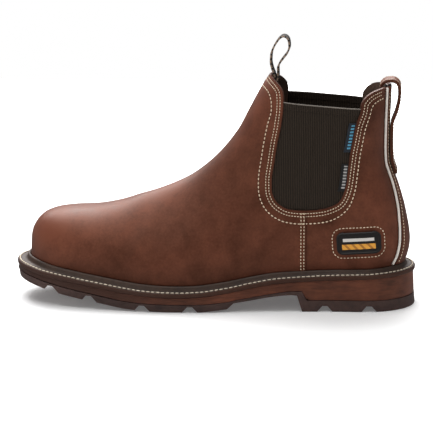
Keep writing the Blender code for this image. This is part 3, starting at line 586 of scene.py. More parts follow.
def burnishedFinish(name, look=midsoleLook):
    # stacked edge: dark at the toe, reddish brown from the arch back, brushed along
    finish, tree, shader = newFinish(name)
    coords = objectCoords(tree)
    stretch = tree.nodes.new("ShaderNodeMapping")
    stretch.inputs["Scale"].default_value = (0.35, 0.35, 2.4)
    plug(tree, coords, stretch.inputs["Vector"])
    brush = noise(tree, stretch.outputs["Vector"], 260.0, 5.0, 0.65)
    blot = noise(tree, coords, 55.0, 4.0, 0.6)
    back = tree.nodes.new("ShaderNodeMapRange")
    back.inputs["From Min"].default_value, back.inputs["From Max"].default_value = look["turns"]
    plug(tree, axes(tree, coords)["X"], back.inputs["Value"])
    color = blendColor(tree, back.outputs[0], look["toe"], look["heel"])
    stain = weighted(tree, (brush, 0.5), (blot, 0.5))
    stained = calc(tree, "MULTIPLY", calc(tree, "SUBTRACT", stain, 0.30), 2.6, clamp=True)
    color = blendColor(tree, stained, look["stain"], color)
    plug(tree, color, shader.inputs["Base Color"])
    rough = calc(tree, "ADD", calc(tree, "MULTIPLY", brush, 0.3), look["roughness"] - 0.12)
    plug(tree, rough, shader.inputs["Roughness"])
    shader.inputs["Specular IOR Level"].default_value = look["shineLevel"]
    shader.inputs["Specular Tint"].default_value = look["shine"]
    plug(tree, bump(tree, brush, 0.45, 0.25 * mm), shader.inputs["Normal"])
    return finish


webbingLook = {
    "ground": (0.016, 0.013, 0.011), "dash": (0.27, 0.19, 0.135), "border": 0.08,
    "threads": (15, 14), "dashes": 4,
}
badgeLook = {
    "ground": (0.012, 0.010, 0.009), "stripe": (0.66, 0.63, 0.59),
    "amber": (0.80, 0.36, 0.03), "bar": (0.46, 0.17, 0.014), "slant": (36.0, 16.0),
    "amberUp": (0.347, 0.125), "amberAlong": (0.5, 0.385),  # middle and half size, shares
    "stripeUp": (0.655, 0.075), "stripeAlong": (0.5, 0.36),
}
tabLook = {"ticks": 9, "roughness": 0.8}


def webbingFinish(name, look=webbingLook):
    # woven tape: fine weave with pale dashes along both borders
    finish, tree, shader = newFinish(name)
    along, across = pieceUv(tree)
    lengthways, crossways = look["threads"]
    weave = calc(tree, "MULTIPLY", waves(tree, along, lengthways), waves(tree, across, crossways))
    pulse = calc(tree, "GREATER_THAN", waves(tree, along, look["dashes"]), -0.5)
    borders = [band(tree, across, middle, look["border"]) for middle in (0.02, 0.98)]
    border = calc(tree, "GREATER_THAN", calc(tree, "MAXIMUM", *borders), 0.25)
    dash = calc(tree, "MULTIPLY", pulse, border)
    plug(tree, blendColor(tree, dash, look["ground"], look["dash"]), shader.inputs["Base Color"])
    shader.inputs["Roughness"].default_value = 0.85
    plug(tree, bump(tree, weave, 0.5, 0.2 * mm), shader.inputs["Normal"])
    return finish


def badgeRubber(name, look=badgeLook):
    # black rubber with a plain pale stripe over an amber band of wide slanted bars
    finish, tree, shader = newFinish(name)
    along, up = pieceUv(tree)
    inBand, inStripe = (
        calc(tree, "MULTIPLY", within(tree, up, *look[part + "Up"], 0.05),
             within(tree, along, *look[part + "Along"], 0.02))
        for part in ("amber", "stripe"))
    slant = weighted(tree, (along, look["slant"][0]), (up, look["slant"][1]))
    bars = calc(tree, "GREATER_THAN", calc(tree, "SINE", slant), 0.35)
    amber = blendColor(tree, bars, look["amber"], look["bar"])
    color = blendColor(tree, inBand, look["ground"], amber)
    color = blendColor(tree, inStripe, color, look["stripe"])
    plug(tree, color, shader.inputs["Base Color"])
    shader.inputs["Roughness"].default_value = 0.42
    fine = noise(tree, objectCoords(tree), 900.0, 2.0)
    plug(tree, bump(tree, fine, 0.2, 0.08 * mm), shader.inputs["Normal"])
    return finish


def tabFinish(name, ground, mark, look=tabLook):
    # woven tape with plain ticks in its middle third
    finish, tree, shader = newFinish(name)
    along, up = pieceUv(tree)
    tick = calc(tree, "GREATER_THAN", waves(tree, up, look["ticks"]), -0.1)
    row = within(tree, along, 0.62, 0.26, 0.1)
    inside = within(tree, up, 0.5, 0.44, 0.02)
    share = calc(tree, "MULTIPLY", calc(tree, "MULTIPLY", tick, row), inside)
    plug(tree, blendColor(tree, share, ground, mark), shader.inputs["Base Color"])
    shader.inputs["Roughness"].default_value = look["roughness"]
    weave = noise(tree, objectCoords(tree), 1800.0, 1.0)
    plug(tree, bump(tree, weave, 0.4, 0.1 * mm), shader.inputs["Normal"])
    return finish


upperLeather = leatherFinish("upperLeather")
stayLeather = leatherFinish("stayLeather", rows=())
plain = {name: plainFinish(name, *look) for name, look in plainLooks.items()}
threadTan = threadFinish("threadTan", (0.92, 0.73, 0.52))
threadWelt = threadFinish("threadWelt", (0.95, 0.82, 0.64))
elastic = elasticFinish("elastic")
weltEdgeFinish = burnishedFinish("weltEdge", weltEdgeLook)
midsoleFinish = burnishedFinish("midsoleEdge")
webbing = webbingFinish("webbing")
badgeFinish = badgeRubber("badgeRubber")
tabBlue = tabFinish("tabBlue", (0.014, 0.020, 0.030), (0.075, 0.28, 0.42))
tabBlack = tabFinish("tabBlack", (0.010, 0.009, 0.009), (0.36, 0.35, 0.34))
print("finishes ready")


def pieceFrom(form, name, materials, bevelWidth=0.0, bevelSegments=2, wall=0.0,
              liningSlot=None):
    # a finished mesh piece that rides on the boot
    mesh = bpy.data.meshes.new(name)
    form.to_mesh(mesh)
    form.free()
    for finish in materials:
        mesh.materials.append(finish)
    mesh.shade_smooth()
    made = bpy.data.objects.new(name, mesh)
    bpy.context.scene.collection.objects.link(made)
    if wall:
        shell = made.modifiers.new("wall", "SOLIDIFY")
        shell.thickness = wall
        shell.offset = -1
        shell.use_even_offset = False
        if liningSlot is not None:
            shell.material_offset = liningSlot
            shell.material_offset_rim = 0
    if bevelWidth:
        soft = made.modifiers.new("softEdges", "BEVEL")
        soft.width = bevelWidth
        soft.segments = bevelSegments
        soft.limit_method = "ANGLE"
        soft.angle_limit = math.radians(50)
        soft.harden_normals = False
    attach(made, "root")
    return made


def gridForm(columns, rows):
    # flat unit grid whose corners run from 0 to 1, to be laid over a surface
    form = bmesh.new()
    bmesh.ops.create_grid(form, x_segments=columns, y_segments=rows, size=0.5)
    u = np.array([vert.co.x + 0.5 for vert in form.verts])
    v = np.array([vert.co.y + 0.5 for vert in form.verts])
    return form, u, v


def lay(form, places, values=None):
    # moves the grid's corners to their places and stores named values on them
    layers = {}
    for key in values or {}:
        layers[key] = form.verts.layers.float.new(key)
    for number, vert in enumerate(form.verts):
        vert.co = places[number]
        for key, layer in layers.items():
            vert[layer] = float(values[key][number])


def addUv(form, u, v):
    layer = form.loops.layers.uv.new("UVMap")
    form.verts.index_update()
    for face in form.faces:
        for loop in face.loops:
            loop[layer].uv = (u[loop.vert.index], v[loop.vert.index])


def weld(form, reach=0.002 * mm, slim=0.0):
    # merges doubles, drops slivers and turns the faces of a closed form outwards
    bmesh.ops.remove_doubles(form, verts=form.verts, dist=reach)
    if slim:
        bmesh.ops.dissolve_degenerate(form, edges=form.edges, dist=slim)
    bmesh.ops.recalc_face_normals(form, faces=form.faces)


def turnOutward(form):
    # open shell: its faces look away from the boot's middle
    bmesh.ops.recalc_face_normals(form, faces=form.faces)
    outward = sum(
        face.normal.y * face.calc_center_median().y * face.calc_area() for face in form.faces)
    if outward < 0:
        bmesh.ops.reverse_faces(form, faces=form.faces)


def openingPart(x):
    # index on the opening line at its bottom, nearest to a place along the boot
    aside = np.abs(openingLine[:, 0] - x)
    above = np.abs(openingLine[:, 1] - openingLine[:, 1].min())
    return int((aside + above * 2).argmin())


def walk(line, share):
    # point at a share of a line's length
    run = runOf(line)
    return spotsAt(line, run, np.clip(share, 0, 1) * run[-1])


grids = {  # faces along and across each piece's net
    "vamp": (189, 96), "quarter": (120, 60), "gore": (70, 90), "hem": (70, 8),
    "backstay": (110, 24), "badge": (96, 56), "tab": (12, 36), "ribbonWidth": 16,
}
seam = {
    "x": 72.3 * mm, "lap": 8 * mm, "step": 0.9 * mm, "stepRun": 14 * mm, "under": 0.35 * mm,
    "fade": (-3 * mm, 14 * mm),  # heights from the gore's foot between which the step ends
}
wall = {"leather": 2.1 * mm, "edge": 0.45 * mm}
crossing = int(np.argmax(openingLine[:, 1] < crestHeight(openingLine[:, 0])))
seamTop = openingPart(seam["x"])
lapTop = openingPart(seam["x"] - seam["lap"])
lowIndex = int(openingLine[:, 1].argmin())
openingLow = openingLine[lowIndex, 1]
creases = [  # soft troughs: along, height, run, width, lean in degrees, depth
    (0.355, 0.300, 30 * mm, 5.0 * mm, 58, 0.50 * mm),
    (0.405, 0.330, 26 * mm, 4.5 * mm, 52, 0.40 * mm),
    (0.300, 0.330, 24 * mm, 5.0 * mm, 66, 0.35 * mm),
    (0.560, 0.420, 30 * mm, 7.0 * mm, 30, 0.55 * mm),
    (0.620, 0.330, 26 * mm, 7.0 * mm, 12, 0.45 * mm),
    (0.870, 0.560, 22 * mm, 6.0 * mm, -20, 0.40 * mm),
]


def creaseDepth(x, z):
    depth = np.zeros(np.shape(x))
    for along, height, long, wide, lean, deep in creases:
        dx = x - lastX(along)
        dz = z - last["peakHeight"] * height
        turn = math.radians(lean)
        run = dx * math.cos(turn) + dz * math.sin(turn)
        off = (-dx * math.sin(turn) + dz * math.cos(turn)) / wide
        trough = np.exp(-off ** 2) - 0.55 * np.exp(-(off - 1.9) ** 2)
        depth += deep * trough * np.exp(-(run / long) ** 2)
    return depth * smoothRise(0, 9 * mm, z - rimTop(x))  # none at the welt


def vampLift(x, z):
    # the vamp lies over the quarters at the side seam
    near = smoothRise(seam["x"] - seam["stepRun"], seam["x"] - 0.3 * seam["stepRun"], x)
    below = 1 - smoothRise(*seam["fade"], z - openingLow)
    return seam["step"] * near * below - creaseDepth(x, z)


def quarterLift(x, z):
    lapped = 1 - smoothRise(seam["x"] - seam["lap"], seam["x"] + 4 * mm, x)
    return -creaseDepth(x, z) - seam["under"] * lapped * (z < openingLow + 2 * mm)


def leatherLift(x, z):
    return np.where(x < seam["x"], vampLift(x, z), quarterLift(x, z))


# Panels run from a start line to an end line; each row pairs a place on one
# with a place on the other. The vamp starts on the ridge and ends along the
# foot (0 to 1), up the side seam (1 to 2) and round the gore to the peak (2 to 3).
vampRows = [  # ridge along the last, place on the end line
    (0.0076, 0.000), (0.0105, 0.011), (0.0200, 0.032), (0.0461, 0.067), (0.0789, 0.118),
    (0.1274, 0.190), (0.1760, 0.275), (0.2300, 0.385), (0.2800, 0.505), (0.3250, 0.640),
    (0.3600, 0.790), (0.3820, 0.920), (0.3900, 1.000), (0.3930, 1.250), (0.3960, 1.500),
    (0.3990, 1.750), (0.4030, 2.000), (0.4200, 2.050), (0.4450, 2.100), (0.4720, 2.140),
    (0.5000, 2.185), (0.5250, 2.250), (0.5450, 2.350), (0.5750, 2.500), (0.6050, 2.700),
    (0.6300, 2.870), (0.6420, 2.960), (0.6457, 2.990),
]
# The quarter starts up the seam (0 to 1) and round the gore (1 to 2), and ends
# along the foot (0 to 1) and up the back (1 to 2).
quarterRows = [
    (0.00, 0.00), (0.20, 0.16), (0.50, 0.36), (0.80, 0.54), (1.00, 0.70), (1.10, 0.84),
    (1.20, 0.95), (1.30, 1.02), (1.45, 1.25), (1.62, 1.52), (1.80, 1.78), (1.92, 1.92),
    (1.985, 1.992),
]


flow = {
    "vampStraight": 0.35, "quarterStraight": 0.4,  # share of a row's places that is even
    "sag": 9 * mm, "sagGrows": (0.7, 1.6), "sagEnds": (1.7, 2.26),  # places on the end line
}


def readRows(table, u):
    # both columns of a table of rows at places down the panel
    steps = np.linspace(0, 1, len(table))
    return tuple(curveThrough(steps, column)(u) for column in zip(*table))


def vampPlaces(u, t):
    ridge, edge = readRows(vampRows, u)
    rx = lastX(ridge)
    rz = crestHeight(rx)
    footX = toeX + np.clip(edge, 0, 1) * (seam["x"] - toeX)
    seamFoot = footHeight(seam["x"])
    seamZ = seamFoot + (openingLine[seamTop, 1] - seamFoot) * np.clip(edge - 1, 0, 1)
    gorePath = walk(openingLine[crossing:seamTop + 1][::-1], np.clip(edge - 2, 0, 1))
    ex = np.where(edge <= 1, footX, np.where(edge <= 2, seam["x"], gorePath[:, 0]))
    ez = np.where(edge <= 1, footHeight(footX), np.where(edge <= 2, seamZ, gorePath[:, 1]))
    even = flow["vampStraight"]
    spread = even * t + (1 - even) * (1 - np.cos(t * math.pi / 2))
    # the rows that end under the gore sag, so that they meet its edge from below
    sag = smoothRise(*flow["sagGrows"], edge) * (1 - smoothRise(*flow["sagEnds"], edge))
    sag *= flow["sag"] * 27 / 4  # so that the curve below peaks at the sag
    x = rx + (ex - rx) * spread
    z = rz + (ez - rz) * spread - sag * spread ** 2 * (1 - spread)
    atToe = u < 1e-6
    return np.where(atToe, frontX(z), x), z, atToe


outerWay = {  # what sets the outer row apart from the rim's line
    "start": [  # its way from the ridge to the gore's front
        (37.2 * mm, 167.8 * mm), (40.6 * mm, 166.8 * mm), (43.3 * mm, 163.8 * mm),
        (44.9 * mm, 159.2 * mm), (45.5 * mm, 153.5 * mm), (45.0 * mm, 147.8 * mm)],
    "least": 6 * mm,  # rows further from the rim than this are outer ones
    "below": 143 * mm,  # height from which the rim leads it
    "closer": (88 * mm, 104 * mm),  # along, where it draws nearer to the rim
}


def openingRow(distance):
    # the rim's line moved out over the leather
    outer = distance > outerWay["least"]
    off = sideways(openingLine)
    if (openingLine[lowIndex] + off[lowIndex] * mm)[1] > openingLow:
        off = -off
    closer = stitch["rearCloser"] if outer else 0.0
    reach = distance - closer * smoothRise(*outerWay["closer"], openingLine[:, 0])
    row = openingLine + off * reach[:, None]
    clear = lineGap(row[:, 0], row[:, 1], openingLine)[0] > reach * 0.985
    clear &= row[:, 1] < crestHeight(row[:, 0]) - 0.4 * mm
    clear &= row[:, 0] < backX(row[:, 1]) - 3 * mm
    row = row[clear]
    if outer:
        led = (row[:, 1] < outerWay["below"]) | (row[:, 0] > seam["x"])
        row = roundedLine(np.vstack([outerWay["start"], row[led]]), 500)
    for _ in range(18 if outer else 3):
        row[2:-2] = (row[:-4] + row[1:-3] + row[2:-2] + row[3:-1] + row[4:]) / 5
    return roundedLine(row[::6], 420)


outerRow = openingRow(stitch["rows"][2])
outerOff = sideways(outerRow)


def outerRowGap(x, z):
    # signed distance to the outer stitch row, plain distance past its ends
    gap, near = lineGap(x, z, outerRow)
    signed = (x - outerRow[near, 0]) * outerOff[near, 0]
    signed = signed + (z - outerRow[near, 1]) * outerOff[near, 1]
    return np.where(gap > np.abs(signed) + 0.5 * mm, gap, signed)


lightAndToneSpots = [  # painted light (+) and painted shade (-) on the leather, with some of its own tone: along, height, reach, amount
    (0.075, 0.375, 16 * mm, 0.55), (0.240, 0.395, 20 * mm, 0.50), (0.070, 0.270, 24 * mm, 0.70),
    (0.200, 0.220, 24 * mm, 0.25), (0.330, 0.220, 24 * mm, 0.20), (0.395, 0.455, 17 * mm, 0.90),
    (0.400, 0.300, 26 * mm, -0.25), (0.560, 0.560, 26 * mm, -0.15), (0.480, 0.400, 20 * mm, 0.25),
    (0.905, 0.860, 17 * mm, -0.75), (0.900, 0.660, 16 * mm, -0.30), (0.960, 0.450, 17 * mm, 0.70),
    (0.800, 0.300, 20 * mm, 0.15), (0.955, 0.250, 14 * mm, 0.45), (0.630, 0.860, 14 * mm, 0.25),
]


# sum of the spots of painted light and shade, with some of the leather's own tone
def lightAndToneAt(x, z):
    toneAndPaintedLight = np.zeros(np.shape(x))
    for along, height, reach, amount in lightAndToneSpots:
        away = ((x - lastX(along)) ** 2 + (z - last["peakHeight"] * height) ** 2) / reach ** 2
        toneAndPaintedLight += amount * np.exp(-away)
    return toneAndPaintedLight


def leatherValues(x, z):
    return {
        "toneAndPaintedLight": lightAndToneAt(x, z),
        "rowGap": outerRowGap(x, z),
        "edgeGap": lineGap(x, z, openingLine)[0],
        "footGap": z - rimTop(x),
        # distance from the side seam, read for a painted shadow line at the vamp's lap
        "seamGap": np.where(z < openingLow + mm, np.abs(seam["x"] - x), farOff),
    }


def closePanel(form, name):
    # welds a laid panel, gives it its wall and lining, and stands it in for the upper
    weld(form, 0.01 * mm, 0.005 * mm)
    turnOutward(form)
    made = pieceFrom(form, name, [upperLeather, plain["lining"]],
                     wall["edge"], 2, wall["leather"], 1)
    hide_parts("upper")


def makeVamp():
    form, u, v = gridForm(*grids["vamp"])
    t = np.abs(v - 0.5) * 2
    places = np.zeros((len(u), 3))
    xs, zs = np.zeros(len(u)), np.zeros(len(u))
    for side in (lateral, medial):
        mine = (v <= 0.5) if side == lateral else (v > 0.5)
        x, z, atToe = vampPlaces(u[mine], t[mine])
        onRidge = (t[mine] < 1e-6) | atToe
        point, normal = skinPoint(x, z, side, np.where(onRidge, 0.0, vampLift(x, z)))
        point[:, 1] = np.where(onRidge, middleY(x), point[:, 1])
        places[mine] = point
        xs[mine], zs[mine] = x, z
    lay(form, places, leatherValues(xs, zs))
    closePanel(form, "vamp")


def makeQuarter(name, side):
    form, u, v = gridForm(*grids["quarter"])
    up, down = readRows(quarterRows, u)
    startX = seam["x"] - seam["lap"]
    startZ = float(footHeight(startX))
    gorePath = walk(openingLine[lapTop:], np.clip(up - 1, 0, 1))
    startRise = startZ + (openingLine[lapTop, 1] - startZ) * np.clip(up, 0, 1)
    ax = np.where(up <= 1, startX, gorePath[:, 0])
    az = np.where(up <= 1, startRise, gorePath[:, 1])
    topZ = openingLine[-1, 1]
    footX = startX + np.clip(down, 0, 1) * (heelX - startX)
    backZ = footHeight(heelX) + (topZ - footHeight(heelX)) * np.clip(down - 1, 0, 1)
    bx = np.where(down <= 1, footX, backX(backZ))
    bz = np.where(down <= 1, footHeight(footX), backZ)
    even = flow["quarterStraight"]
    spread = even * v + (1 - even) * np.sin(v * math.pi / 2)
    x = ax + (bx - ax) * spread
    z = az + (bz - az) * spread
    onBack = (v > 1 - 1e-6) & (down >= 1)
    x = np.where(onBack, backX(z), x)
    point, normal = skinPoint(x, z, side, np.where(onBack, 0.0, quarterLift(x, z)))
    point[:, 1] = np.where(onBack, middleY(x), point[:, 1])
    lay(form, point, leatherValues(x, z))
    closePanel(form, name)


makeVamp()
for tag, side in bothSides:
    makeQuarter("quarter_" + tag, side)
print("upper panels made")

# Elastic side panels, set back under the leather's edge
gore = {
    "recess": 1.0 * mm, "wall": 1.4 * mm, "under": 0.4 * mm,
    "ripple": 0.18 * mm, "ripples": (19, 3.1), "crowding": 1.7,
    "front": 0.8980, "middle": 0.8850, "back": 0.8730,  # heights of the top edge
    "hemDrop": 5.0 * mm, "hemHigh": 5.4 * mm, "hemUnder": 0.2 * mm, "hemLift": 0.45 * mm,
    "hemThicker": 0.7 * mm, "lineRadius": 0.42 * mm,
}


def goreLimits(height):
    # the cut-out's front and back edge at a height
    falling, rising = openingLine[lowIndex::-1], openingLine[lowIndex:]
    return tuple(np.interp(height, edge[:, 1], edge[:, 0]) for edge in (falling, rising))


def goreTop(part):
    # height of the sagging top edge from its front end to its back end
    straight = gore["front"] + (gore["back"] - gore["front"]) * part
    sag = (gore["front"] + gore["back"] - 2 * gore["middle"]) * 2 * part * (1 - part)
    return last["peakHeight"] * (straight - sag)


def gorePlaces(part, share):
    low = openingLow + 0.05 * mm
    frontTop = last["peakHeight"] * gore["front"]
    height = low + (frontTop - low) * share
    drop = (frontTop - goreTop(part)) * share ** 3
    z = height - drop
    front, back = goreLimits(z)
    ends = gore["under"] * smoothRise(0, 0.02, share)
    return front - ends + (back - front + 2 * ends) * part, z


def makeGore(name, node, side):
    form, u, v = gridForm(*grids["gore"])
    aside, above = gore["ripples"]
    x, z = gorePlaces(u, v ** gore["crowding"])
    ripple = gore["ripple"] * np.sin(u * aside) * np.sin(v * above)
    point, normal = skinPoint(x, z, side, -gore["recess"] + ripple)
    lay(form, point)
    turnOutward(form)
    made = pieceFrom(form, name, [elastic], 0.3 * mm, 2, gore["wall"])
    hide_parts(node)
    # folded hem along the top, with a pale cord on its fold as a painted highlight
    form, u, v = gridForm(*grids["hem"])
    z = goreTop(u) - gore["hemDrop"] + gore["hemHigh"] * v
    front, back = goreLimits(z)
    x = front - gore["hemUnder"] + (back - front + 2 * gore["hemUnder"]) * u
    point, normal = skinPoint(x, z, side, gore["hemLift"] - gore["recess"])
    lay(form, point)
    turnOutward(form)
    hem = pieceFrom(form, name + "_hem", [elastic], 0.4 * mm, 3,
                    gore["wall"] + gore["hemThicker"])
    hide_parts(node)
    part = np.linspace(0.0, 1.0, 60)
    z = goreTop(part) + 0.1 * mm
    front, back = goreLimits(z)
    line, normal = skinPoint(front + (back - front) * part, z, side, 0.3 * mm - gore["recess"])
    # painted highlight along the fold
    tube(name + "_edge_line", line, gore["lineRadius"], plain["foldHighlight"])


def tube(name, points, radius, finish, sides=2):
    # round cord along points, drawn as a curve and kept as a mesh
    line = bpy.data.curves.new(name, "CURVE")
    line.dimensions = "3D"
    line.bevel_depth = radius
    line.bevel_resolution = sides
    line.use_fill_caps = True
    spline = line.splines.new("POLY")
    spline.points.add(len(points) - 1)
    for knot, point in zip(spline.points, points):
        knot.co = (*point, 1.0)
    holder = bpy.data.objects.new(name, line)
    bpy.context.scene.collection.objects.link(holder)
    graph = bpy.context.evaluated_depsgraph_get()
    drawn = bpy.data.meshes.new_from_object(holder.evaluated_get(graph))
    bpy.data.objects.remove(holder)
    form = bmesh.new()
    form.from_mesh(drawn)
    bpy.data.meshes.remove(drawn)
    weld(form, 0.005 * mm)
    return pieceFrom(form, name, [finish])


for tag, side in bothSides:
    makeGore("gore_%s_panel" % tag, "gore_" + tag, side)
print("gores made")

# Backstay, its two beads and the pull strap
back = {
    "gap": 0.6 * mm, "thickness": 1.3 * mm, "topWidth": 23 * mm, "footWidth": 42 * mm,
    "bead": 1.9 * mm, "fit": 0.3 * mm, "swell": 0.25 * mm, "sunk": 0.9 * mm,
    "stitchIn": 2.2 * mm, "stitchLift": 0.2 * mm,
}
backFoot = float(rimTop(heelX)) + back["gap"]
collarBack = last["peakHeight"] * 0.960


def backHalf(z):
    rise = smoothRise(backFoot, last["ankleHeight"], z)
    return (back["footWidth"] + (back["topWidth"] - back["footWidth"]) * rise) / 2


def backPoint(y, z):
    # place on the upper's back at a distance from its middle line, by halving
    y, z = np.broadcast_arrays(np.asarray(y, float), np.asarray(z, float))
    far = backX(z) - last["collarRound"]
    near = backX(z).copy()
    for _ in range(16):
        x = (far + near) / 2
        half = np.where(y < 0, halfWidth(x, z, lateral), halfWidth(x, z, medial))
        wide = half > np.abs(y)
        far = np.where(wide, x, far)
        near = np.where(wide, near, x)
    return (far + near) / 2


def backFrame(y, z, lift):
    # point on the upper's back and its outward normal, raised by lift
    tiny = 0.4 * mm
    y, z = np.broadcast_arrays(np.asarray(y, float), np.asarray(z, float))
    here = np.stack([backPoint(y, z), y, z], axis=-1)
    none, both = np.zeros_like(y), np.full_like(y, 2 * tiny)
    aside = np.stack([backPoint(y + tiny, z) - backPoint(y - tiny, z), both, none], axis=-1)
    above = np.stack([backPoint(y, z + tiny) - backPoint(y, z - tiny), none, both], axis=-1)
    normal = np.cross(aside, above)
    normal /= np.linalg.norm(normal, axis=-1, keepdims=True)
    return raised(here, normal, lift), normal


def makeBackstay():
    form, u, v = gridForm(*grids["backstay"])
    z = backFoot + (collarBack - back["gap"] - backFoot) * u
    y = backHalf(z) * (2 * v - 1)
    swell = back["swell"] * (1 - (2 * v - 1) ** 8)
    point, normal = backFrame(y, z, back["gap"] + back["thickness"] + swell)
    lay(form, point, {
        "edgeGap": backHalf(z) - np.abs(y), "footGap": z - backFoot + 4 * mm,
        "seamGap": np.full(len(u), farOff), "toneAndPaintedLight": np.full(len(u), 0.3),
    })
    bmesh.ops.recalc_face_normals(form, faces=form.faces)
    if sum(face.normal.x for face in form.faces) < 0:
        bmesh.ops.reverse_faces(form, faces=form.faces)
    made = pieceFrom(form, "backstay_strip", [stayLeather, plain["lining"]],
                     0.35 * mm, 2, back["thickness"] + back["sunk"], 1)
    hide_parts("backstay")


def makeBead(name, node, side):
    radius = back["bead"] / 2
    z = np.linspace(backFoot + back["gap"], collarBack - 2 * back["gap"], 90)
    y = side * (backHalf(z) + back["gap"] + radius)
    point, normal = backFrame(y, z, radius + 0.2 * mm)
    made = tube(name, point, radius, plain["bead"], 3)
    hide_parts(node)


strap = {
    "width": 20 * mm, "thickness": 2.4 * mm, "tail": 20 * mm, "loop": 11 * mm,
    "join": 0.785, "foot": 0.568,
    "arch": [  # out from the back line and up from the collar, shares of the loop
        (-0.50, -0.50), (-0.50, -0.06), (-0.34, 0.18), (-0.08, 0.30), (0.24, 0.32),
        (0.56, 0.17), (0.71, -0.16), (0.73, -0.62), (0.68, -1.15), (0.54, -1.80)],
}
loop = {
    "width": 15 * mm, "thickness": 1.3 * mm, "rise": 32 * mm, "tail": 14 * mm,
    "arch": [  # forward and up from the peak's inner face, shares of the rise
        (0.00, 0.00), (-0.02, 0.10), (-0.06, 0.20), (-0.10, 0.39), (-0.09, 0.56), (-0.04, 0.71),
        (0.04, 0.85), (0.12, 0.95), (0.20, 0.99), (0.27, 0.965), (0.325, 0.88), (0.34, 0.75),
        (0.30, 0.61), (0.20, 0.47), (0.11, 0.34), (0.07, 0.23)],
}


def strapPath(count):
    back0 = float(backX(collarBack))
    hollow = (strap["width"] / 2) ** 2 / (2 * (last["collarRound"] - last["wall"]))
    inner = back0 - last["wall"] - back["gap"] - hollow - strap["thickness"] / 2
    arch = [(inner, collarBack - strap["tail"])]  # inside leg, then over the collar
    for number, (out, up) in enumerate(strap["arch"]):
        x = inner if number < 2 else back0 + strap["loop"] * out
        arch.append((x, collarBack + strap["loop"] * up))
    seat = back["gap"] + back["thickness"] + back["fit"] + strap["thickness"] / 2
    heights = np.linspace(strap["join"], strap["foot"], 8) * last["peakHeight"]
    leg, normal = backFrame(np.zeros(8), heights, seat)
    return roundedLine(arch + [(x, z) for x, y, z in leg], count)


def loopPath(count):
    low, top = np.array(frontShape[-3]), np.array(frontShape[-2])
    slope = (top - low) * (last["length"], last["peakHeight"])
    slope /= np.linalg.norm(slope)
    inward = np.array([slope[1], -slope[0]])
    peak = np.array([float(lastX(top[0])), last["peakHeight"] * top[1]])
    sagitta = (loop["width"] / 2) ** 2 / last["shaftWidth"]
    first = peak + inward * (last["wall"] + 2 * back["gap"] + sagitta + loop["thickness"] / 2)
    second = first + inward * (loop["thickness"] + back["fit"])
    arch = first + loop["rise"] * np.array(loop["arch"])
    down = slope * loop["tail"]
    return roundedLine([first - down, *arch, second + slope * 2 * mm, second - down], count)


def makeRibbon(name, node, path, band, finishes, soft, liningSlot=None):
    # flat band along a side-view path; its outer face looks left of the path
    form, u, v = gridForm(len(path) - 1, grids["ribbonWidth"])
    number = np.rint(u * (len(path) - 1)).astype(int)
    off = sideways(path)
    across = 2 * v - 1
    place = path[number] + off[number] * band["thickness"] / 2
    length = runOf(path)[-1]
    points = np.column_stack([place[:, 0], across * band["width"] / 2, place[:, 1]])
    edge, far = (1 - np.abs(across)) * band["width"] / 2, np.full(len(u), farOff)
    lay(form, points, {"edgeGap": edge, "footGap": far, "seamGap": far})
    addUv(form, u * length / band["width"], v)
    bmesh.ops.recalc_face_normals(form, faces=form.faces)
    middle = form.faces[:][len(form.faces) // 2]
    centre = middle.calc_center_median()
    nearest = int(np.argmin((path[:, 0] - centre.x) ** 2 + (path[:, 1] - centre.z) ** 2))
    if middle.normal.x * off[nearest, 0] + middle.normal.z * off[nearest, 1] < 0:
        bmesh.ops.reverse_faces(form, faces=form.faces)
    made = pieceFrom(form, name, finishes, soft, 3, band["thickness"], liningSlot)
    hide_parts(node)


makeBackstay()
for tag, side in bothSides:
    makeBead("bead_" + tag, "piping_" + tag, side)
strapLine = strapPath(140)
loopLine = loopPath(130)
makeRibbon("heel_strap", "heel_pull_strap", strapLine, strap, [stayLeather, plain["lining"]],
           0.7 * mm, 1)
makeRibbon("front_loop", "front_pull_loop", loopLine, loop, [webbing],
           0.35 * mm)
print("back trim and pulls made")

# Badge plate and woven tabs
badge = {
    "x": float(lastX(0.886)), "z": last["peakHeight"] * 0.297, "long": 33 * mm, "high": 17 * mm,
    "tilt": -3.5, "corner": 4.8 * mm, "thickness": 1.6 * mm, "sunk": 0.4 * mm, "sit": 0.5 * mm,
    "border": 1.5 * mm, "raise": 0.45 * mm,
    "bandUp": -2.6 * mm, "bandHalf": 2.0 * mm, "bandReach": 0.385, "bandRaise": 0.25 * mm,
    "stitchAside": 3.2 * mm, "stitchAbove": 3.0 * mm, "stitchCorner": 7.6 * mm,
}
tab = {
    "width": 5.4 * mm, "under": 0.2 * mm, "curl": 0.35 * mm, "lift": 0.7 * mm,
    "thickness": 0.6 * mm, "upper": (0.690, 0.815), "lower": (0.520, 0.640),
}


def badgePlace(along, up):
    tilt = math.radians(badge["tilt"])
    x = badge["x"] + along * math.cos(tilt) + up * math.sin(tilt)
    z = badge["z"] - along * math.sin(tilt) + up * math.cos(tilt)
    return x, z


def boxGap(along, up, halfLong, halfHigh, corner):
    # distance inwards from a rounded rectangle's edge
    dx = np.maximum(np.abs(along) - (halfLong - corner), 0)
    dz = np.maximum(np.abs(up) - (halfHigh - corner), 0)
    flat = np.minimum(halfLong - np.abs(along), halfHigh - np.abs(up))
    return np.where((dx > 0) & (dz > 0), corner - np.hypot(dx, dz), flat)


